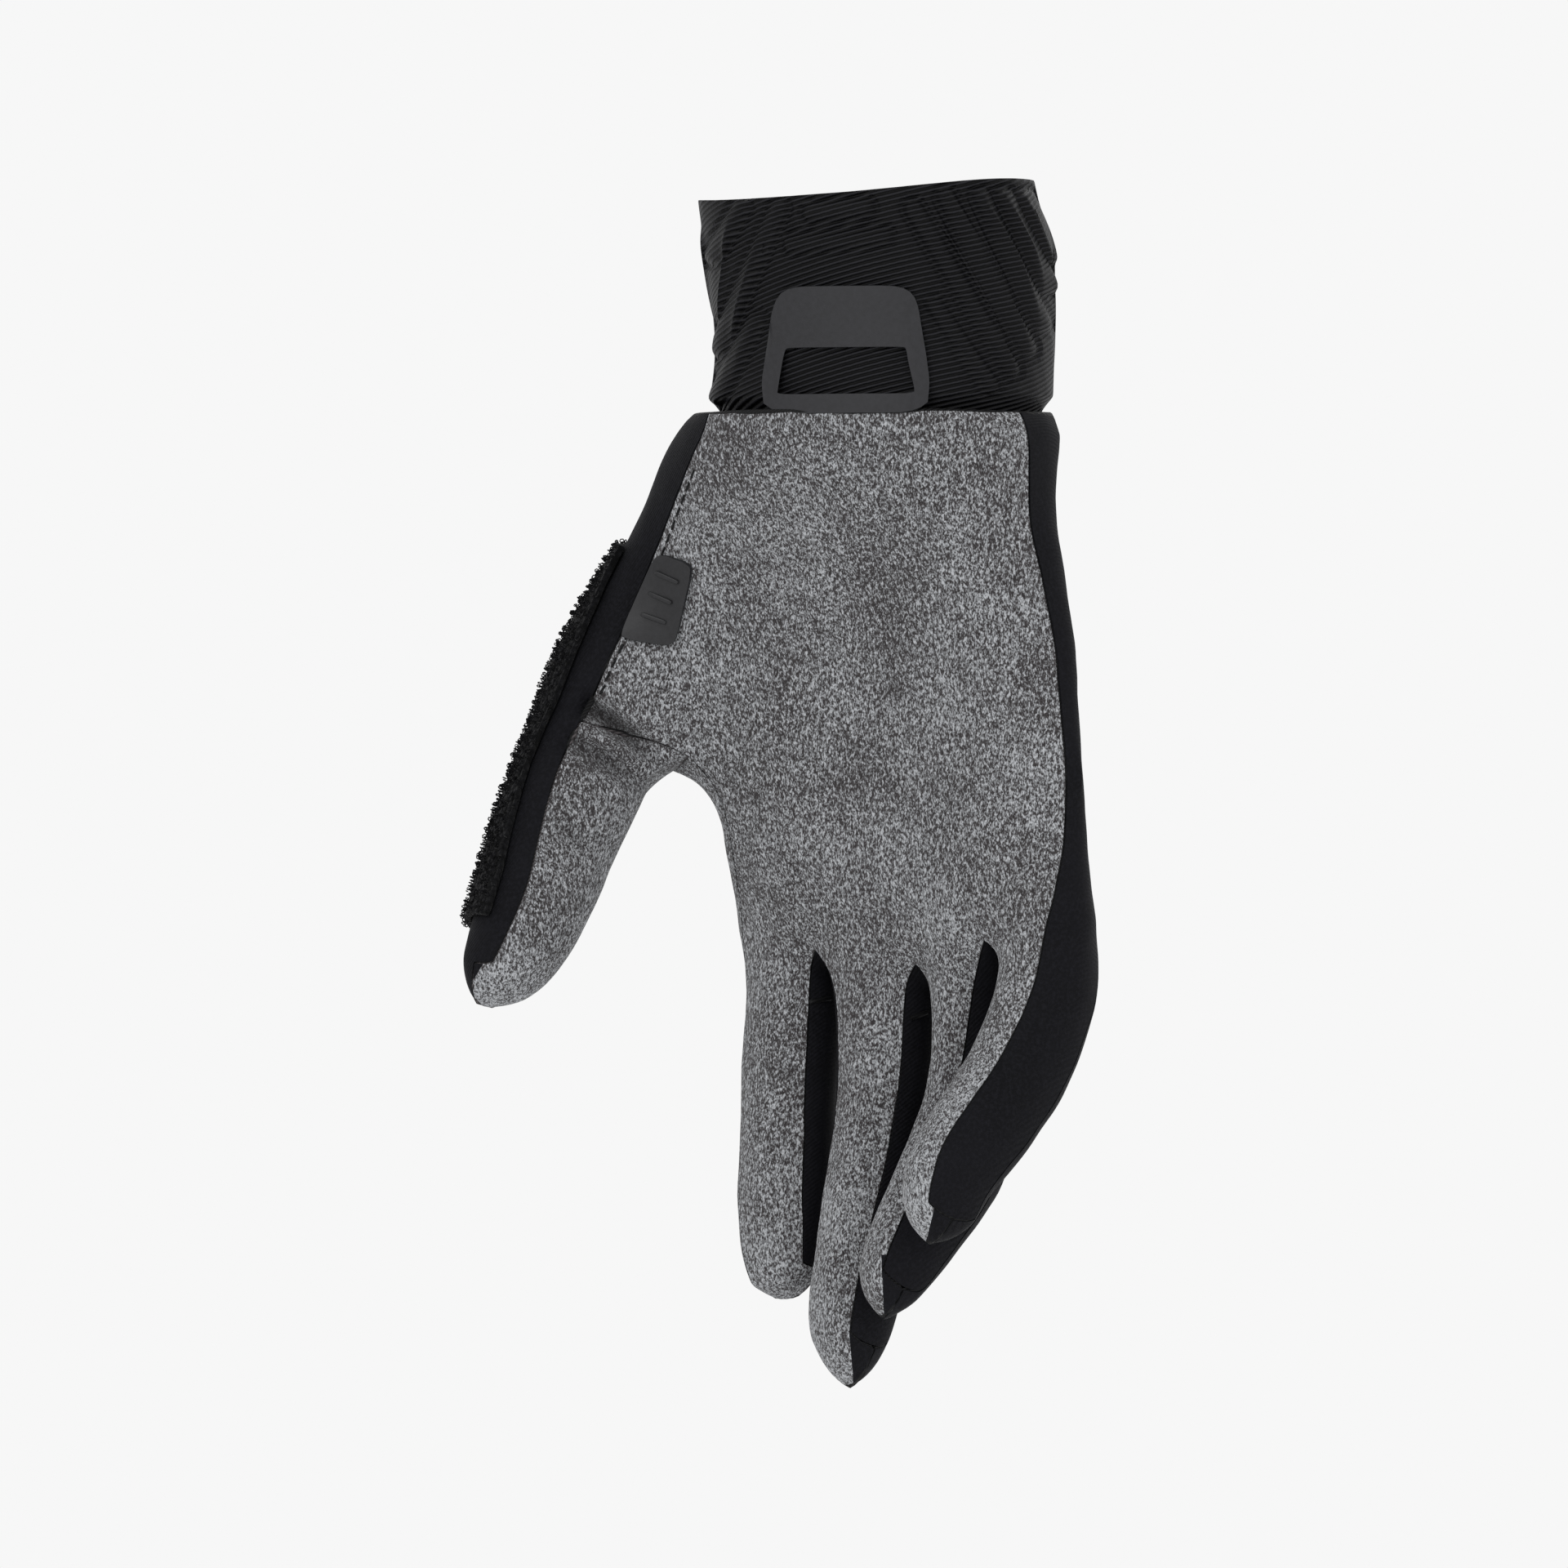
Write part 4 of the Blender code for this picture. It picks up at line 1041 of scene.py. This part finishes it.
class GLOVE_OT_weld_patch(GlovePieceOperator):
    """Welds the film patch with its window on the cuff"""

    bl_idname = "glove.weld_patch"
    bl_label = "Cuff Patch"

    def execute(self, context):
        cloth = context.scene.glove_cloth
        piece = node_copy("cuff_patch", "welded_patch")
        smooth(piece, 1)
        self.reach_the_seam(piece)
        material = material_named(
            "film_thermoplastic_welded",
            moulded,
            "film_thermoplastic_welded",
            tuple(cloth.film),
            0.5,
            900.0,
        )
        finish_piece(piece, material, ("cuff_patch",))
        return {"FINISHED"}


    def reach_the_seam(self, piece):
        """Draws the patch down to the wrist seam, at the same height off the cuff."""
        cuff = tree_of(bpy.data.objects["ribbed_cuff"])
        low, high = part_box("cuff_patch")
        sill = low.z + PATCH_SILL

        def front(x, z):
            hit, _, _, _ = cuff.ray_cast(Vector((x, -80 * MM, z)), Vector((0, 1, 0)), 160 * MM)
            return hit.y if hit else None

        for vertex in piece.data.vertices:
            x, y, z = vertex.co
            if z > sill:
                level = SILL_HEIGHT + (z - sill) / (high.z - sill) * (PATCH_TOP - SILL_HEIGHT)
            else:
                level = PATCH_FOOT + (z - low.z) / PATCH_SILL * (SILL_HEIGHT - PATCH_FOOT)
            before, after = front(x, max(z, CUFF_TURN)), front(x, max(level, CUFF_TURN))
            if before is None or after is None:
                self.refuse("the patch doesn't lie on the cuff")
            vertex.co = (x, y + after - before, level)
        piece.data.update()


class GLOVE_OT_mould_tab(GlovePieceOperator):
    """Moulds the rubber tab in the palm seam, with plain raised bars"""

    bl_idname = "glove.mould_tab"
    bl_label = "Seam Tab"

    def execute(self, context):
        cloth = context.scene.glove_cloth
        piece = node_copy("side_tab", "moulded_tab")
        smooth(piece, 2)
        tree = tree_of(piece)
        material = material_named(
            "rubber_moulded_matt",
            moulded,
            "rubber_moulded_matt",
            tuple(cloth.rubber),
            0.42,
            1100.0,
        )
        finish_piece(piece, material, ("side_tab",))
        # Plain bars lie along the tab's short side.
        bpy.ops.object.select_all(action="DESELECT")
        bpy.ops.mesh.primitive_cube_add(size=1.0, location=(0, 0, 0))
        bar = context.view_layer.objects.active
        bpy.ops.object.mode_set(mode="EDIT")
        bpy.ops.mesh.select_all(action="SELECT")
        bpy.ops.mesh.bevel(offset=0.22, segments=3, affect="EDGES")
        bpy.ops.object.mode_set(mode="OBJECT")
        along = Vector((0.95, 0.0, -0.31)).normalized()
        down = Vector((-0.31, 0.0, -0.95)).normalized()
        centre = Vector((-40.6, 0.0, -80.0)) * MM
        places = []
        for step in (-1, 0, 1):
            spot = centre + down * step * 4.2 * MM
            hit, normal = nearest_outside(tree, spot, Vector((0, -1, 0)))
            if normal.y > 0:
                normal = -normal
            tangent = (along - normal * along.dot(normal)).normalized()
            stretch = (5.4 * MM, 0.9 * MM, 0.9 * MM)
            places.append(placed(hit, tangent, normal, stretch))
        bars = joined_copies("tab_bars", bar, places)
        finish_piece(bars, material)
        return {"FINISHED"}


class GLOVE_OT_loop_wipe(GlovePieceOperator):
    """Sews the terry wipe on the thumb and covers it with short loops"""

    bl_idname = "glove.loop_wipe"
    bl_label = "Terry Wipe"

    def execute(self, context):
        cloth, sewing = context.scene.glove_cloth, context.scene.glove_sewing
        piece = node_copy("thumb_wipe", "terry_wipe")
        smooth(piece, sewing.levels)
        wear_cloth(piece, sewing.ripple)
        material = material_named("terry_cotton_loops", terry_cotton, cloth)
        finish_piece(piece, material, ("thumb_wipe",))
        thumb = tree_of(bpy.data.objects["softshell_thumb_back_panel"])
        outer = []
        for face in piece.data.polygons:
            under, _, _, distance = thumb.find_nearest(face.center)
            if under is not None and (face.center - under).dot(face.normal) > 0.3 * MM:
                outer.append((face.center.copy(), face.normal.copy(), face.area))
        if not outer:
            self.refuse("the wipe has no outer side")
        bpy.ops.object.select_all(action="DESELECT")
        bpy.ops.mesh.primitive_torus_add(
            major_segments=6, minor_segments=3, major_radius=0.42, minor_radius=0.17
        )
        loop = context.view_layer.objects.active
        bpy.ops.object.mode_set(mode="EDIT")
        bpy.ops.mesh.select_all(action="SELECT")
        bpy.ops.transform.rotate(
            value=math.pi / 2, orient_axis="X", center_override=(0.0, 0.0, 0.0)
        )
        bpy.ops.object.mode_set(mode="OBJECT")
        chance = random.Random(7)
        total = sum(area for _, _, area in outer)
        places, due = [], 0.0
        for centre, normal, area in outer:
            due += area / total * sewing.loops
            while due >= 1.0:
                due -= 1.0
                side = Vector(chance.uniform(-1, 1) for _ in range(3))
                along = (side - normal * side.dot(normal)).normalized()
                lean = (normal + along * chance.uniform(-0.5, 0.5)).normalized()
                spot = centre + side * 0.6 * MM
                size = sewing.loop_height * chance.uniform(0.6, 1.3)
                level = (along - lean * along.dot(lean)).normalized()
                places.append(placed(spot + normal * 0.15 * MM, level, lean, (size, size, size)))
        loops = joined_copies("terry_loops", loop, places)
        keep_inside(loops)
        finish_piece(loops, material)
        return {"FINISHED"}


class GLOVE_OT_run_seams(GlovePieceOperator):
    """Runs cords along the cut edges, the wrist seam and the finger strips"""

    bl_idname = "glove.run_seams"
    bl_label = "Seams"

    def execute(self, context):
        sewing = context.scene.glove_sewing
        material = thread_material(context)
        name = "polyester_grey_thread"
        ground = tuple(context.scene.glove_cloth.suede_ground)
        grey = material_named(name, polyester_thread, name, ground)
        for node in SEAMED_NODES:
            paths = [evened(path, 1.2 * MM) for path in RIM_LINES.get(node, ())]
            paths = [path for path in paths if len(path) > 4]
            if not paths:
                self.refuse(f"{node} has no cut edge")
            cord = thread_along(f"seam_{node}", paths, sewing.seam, sides=1)
            keep_inside(cord)
            finish_piece(cord, grey if node == "thumb_palm_panel" else material)
        self.wrist_roll(context, material)
        for number, (node, first, last) in enumerate(CROSS_SEAMS):
            strip = tree_of(bpy.data.objects[f"softshell_{node}"])
            path = []
            for step in range(9):
                share = step / 8
                place = Vector(
                    (
                        first[0] + (last[0] - first[0]) * share,
                        -45.0,
                        first[1] + (last[1] - first[1]) * share,
                    )
                ) * MM
                hit, _, _, _ = strip.ray_cast(place, Vector((0, 1, 0)), 90 * MM)
                if hit is not None:
                    path.append(hit)
            if len(path) > 2:
                ridge = thread_along(f"cross_seam_{number + 1}", [path], 0.5 * MM)
                finish_piece(ridge, material)
        return {"FINISHED"}

    def wrist_roll(self, context, material):
        """The turned roll of cloth where the hand is sewn over the cuff."""
        sewing = context.scene.glove_sewing
        spots = []
        for node in SEAMED_NODES:
            for path in RIM_LINES[node]:
                spots.extend(point for point in evened(path, 1.0 * MM) if point.z > -47.5 * MM)
        if len(spots) < 20:
            self.refuse("the hand's upper edge was not found")
        centre = sum(spots, Vector()) / len(spots)
        shares = {}
        for spot in spots:
            angle = math.atan2(spot.y - centre.y, spot.x - centre.x)
            shares.setdefault(int((angle + math.pi) / (2 * math.pi) * 72) % 72, []).append(spot)
        ring = []
        for key in sorted(shares):
            group = shares[key]
            top = max(point.z for point in group)
            upper = [point for point in group if point.z > top - 1.2 * MM]
            ring.append(sum(upper, Vector()) / len(upper))
        count = len(ring)
        for _ in range(2):
            ring = [
                (ring[index - 1] + ring[index] * 2 + ring[(index + 1) % count]) / 4
                for index in range(count)
            ]
        roll = thread_along("wrist_seam_roll", [ring], sewing.cuff_seam, 12 * MM, sides=3)
        finish_piece(roll, material)


class GLOVE_OT_stitch_tab_seam(GlovePieceOperator):
    """Stitches the suede down beside the tab with black running stitches"""

    bl_idname = "glove.stitch_tab_seam"
    bl_label = "Tab Stitches"

    def execute(self, context):
        sewing = context.scene.glove_sewing
        palm = bpy.data.objects["suede_palm_panel"]
        tree = tree_of(palm)
        bpy.ops.object.select_all(action="DESELECT")
        bpy.ops.mesh.primitive_cylinder_add(vertices=8, radius=0.5, depth=1.0)
        stitch = context.view_layer.objects.active
        bpy.ops.object.mode_set(mode="EDIT")
        bpy.ops.mesh.select_all(action="SELECT")
        bpy.ops.transform.rotate(
            value=math.pi / 2, orient_axis="Y", center_override=(0.0, 0.0, 0.0)
        )
        bpy.ops.mesh.bevel(offset=0.16, segments=2, affect="EDGES")
        bpy.ops.object.mode_set(mode="OBJECT")
        runs = [
            [point for point in path if point.x < -26 * MM and -100 * MM < point.z < -52 * MM]
            for path in RIM_LINES["palm_panel"]
        ]
        places = []
        for run in runs:
            if len(run) < 4:
                continue
            run.sort(key=lambda point: point.z)
            line = evened(run, sewing.stitch_pitch)
            for first, second in zip(line, line[1:]):
                middle = (first + second) / 2 + Vector((1.0, 0.0, 0.0)) * MM
                hit, normal = nearest_outside(tree, middle, Vector((0, -1, 0)))
                if hit is None:
                    continue
                normal = normal if normal.y < 0 else -normal
                along = (second - first).normalized()
                along = (along - normal * along.dot(normal)).normalized()
                stretch = (sewing.stitch, 0.55 * MM, 0.45 * MM)
                places.append(placed(hit, along, normal, stretch))
        if not places:
            self.refuse("the palm's thumb-side edge was not found")
        stitches = joined_copies("tab_seam_stitches", stitch, places)
        finish_piece(stitches, thread_material(context))
        return {"FINISHED"}


class GLOVE_OT_set_stage(bpy.types.Operator):
    """Sets the pale floor, the soft lights and the camera at the photograph's angle"""

    bl_idname = "glove.set_stage"
    bl_label = "Stage"
    bl_options = {"REGISTER", "UNDO"}

    def execute(self, context):
        stage = context.scene.glove_stage
        bpy.ops.object.select_all(action="DESELECT")
        bpy.ops.mesh.primitive_circle_add(
            vertices=96,
            radius=stage.floor_radius,
            fill_type="NGON",
            location=(-0.016, 0.0, -stage.floor_drop),
        )
        floor = context.view_layer.objects.active
        floor.name = "pale_floor"
        material, tree, output = new_material("matt_paper_floor")
        surface = add_node(
            tree,
            "ShaderNodeBsdfPrincipled",
            {"Base Color": tuple(stage.paper), "Roughness": 0.9},
        )
        tree.links.new(surface.outputs[0], output.inputs["Surface"])
        floor.data.materials.append(material)
        self.light(context, "key_softbox", (-0.75, -1.15, 0.65), 0.9, stage.key_watts)
        self.light(context, "fill_softbox", (0.95, -1.0, 0.05), 1.0, stage.key_watts * 0.55)
        self.light(context, "top_softbox", (0.1, 0.75, 0.85), 0.8, stage.key_watts * 0.6)
        context.scene.view_settings.view_transform = "Standard"
        world = bpy.data.worlds.new("pale_surround")
        context.scene.world = world
        world.use_nodes = True
        ground = world.node_tree.nodes["Background"]
        ground.inputs["Color"].default_value = tuple(stage.paper)
        ground.inputs["Strength"].default_value = 1.0
        eye = Vector((-0.01632, -stage.distance, -0.11648))
        bpy.ops.object.camera_add(location=eye, rotation=(math.pi / 2, 0.0, 0.0))
        camera = context.view_layer.objects.active
        camera.name = "photo_camera"
        camera.data.sensor_width = 36.0
        camera.data.lens = 36.0 * stage.distance / stage.frame_width
        camera.data.clip_end = 50.0
        context.scene.camera = camera
        return {"FINISHED"}

    def light(self, context, name, place, size, watts):
        """One soft square light, aimed at the glove."""
        bpy.ops.object.light_add(type="AREA", location=place)
        light = context.view_layer.objects.active
        light.name = name
        light.data.shape = "SQUARE"
        light.data.size = size
        light.data.energy = watts
        target = Vector((-0.015, 0.0, -0.12))
        light.rotation_euler = (target - Vector(place)).to_track_quat("-Z", "Y").to_euler()


PIECE_OPERATORS = (
    GLOVE_OT_sew_suede,
    GLOVE_OT_sew_softshell,
    GLOVE_OT_knit_cuff,
    GLOVE_OT_weld_patch,
    GLOVE_OT_mould_tab,
    GLOVE_OT_loop_wipe,
    GLOVE_OT_run_seams,
    GLOVE_OT_stitch_tab_seam,
    GLOVE_OT_set_stage,
)


class GLOVE_PT_finisher(bpy.types.Panel):
    """The glove's sizes, colours and pieces."""

    bl_idname = "GLOVE_PT_finisher"
    bl_label = "Riding Glove"
    bl_space_type = "VIEW_3D"
    bl_region_type = "UI"
    bl_category = "Glove"

    def draw(self, context):
        layout = self.layout
        scene = context.scene
        for title, group in (
            ("Cloth", scene.glove_cloth),
            ("Sewing", scene.glove_sewing),
            ("Stage", scene.glove_stage),
        ):
            box = layout.box()
            box.label(text=title)
            for name in group.__annotations__:
                box.prop(group, name)
        column = layout.column(align=True)
        for operator in PIECE_OPERATORS:
            column.operator(operator.bl_idname)


CLASSES = (GLOVE_PG_cloth, GLOVE_PG_sewing, GLOVE_PG_stage, *PIECE_OPERATORS, GLOVE_PT_finisher)


def register():
    """Registers the classes and hangs the settings on the scene."""
    for item in CLASSES:
        bpy.utils.register_class(item)
    bpy.types.Scene.glove_cloth = PointerProperty(type=GLOVE_PG_cloth)
    bpy.types.Scene.glove_sewing = PointerProperty(type=GLOVE_PG_sewing)
    bpy.types.Scene.glove_stage = PointerProperty(type=GLOVE_PG_stage)


def unregister():
    """Takes the settings and classes away again."""
    del bpy.types.Scene.glove_stage
    del bpy.types.Scene.glove_sewing
    del bpy.types.Scene.glove_cloth
    for item in reversed(CLASSES):
        bpy.utils.unregister_class(item)


def main():
    """Makes every piece in order."""
    register()
    bpy.ops.glove.sew_suede()
    bpy.ops.glove.sew_softshell()
    bpy.ops.glove.knit_cuff()
    bpy.ops.glove.weld_patch()
    bpy.ops.glove.mould_tab()
    bpy.ops.glove.loop_wipe()
    bpy.ops.glove.run_seams()
    bpy.ops.glove.stitch_tab_seam()
    bpy.ops.glove.set_stage()
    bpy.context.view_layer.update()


if __name__ == "__main__":
    main()
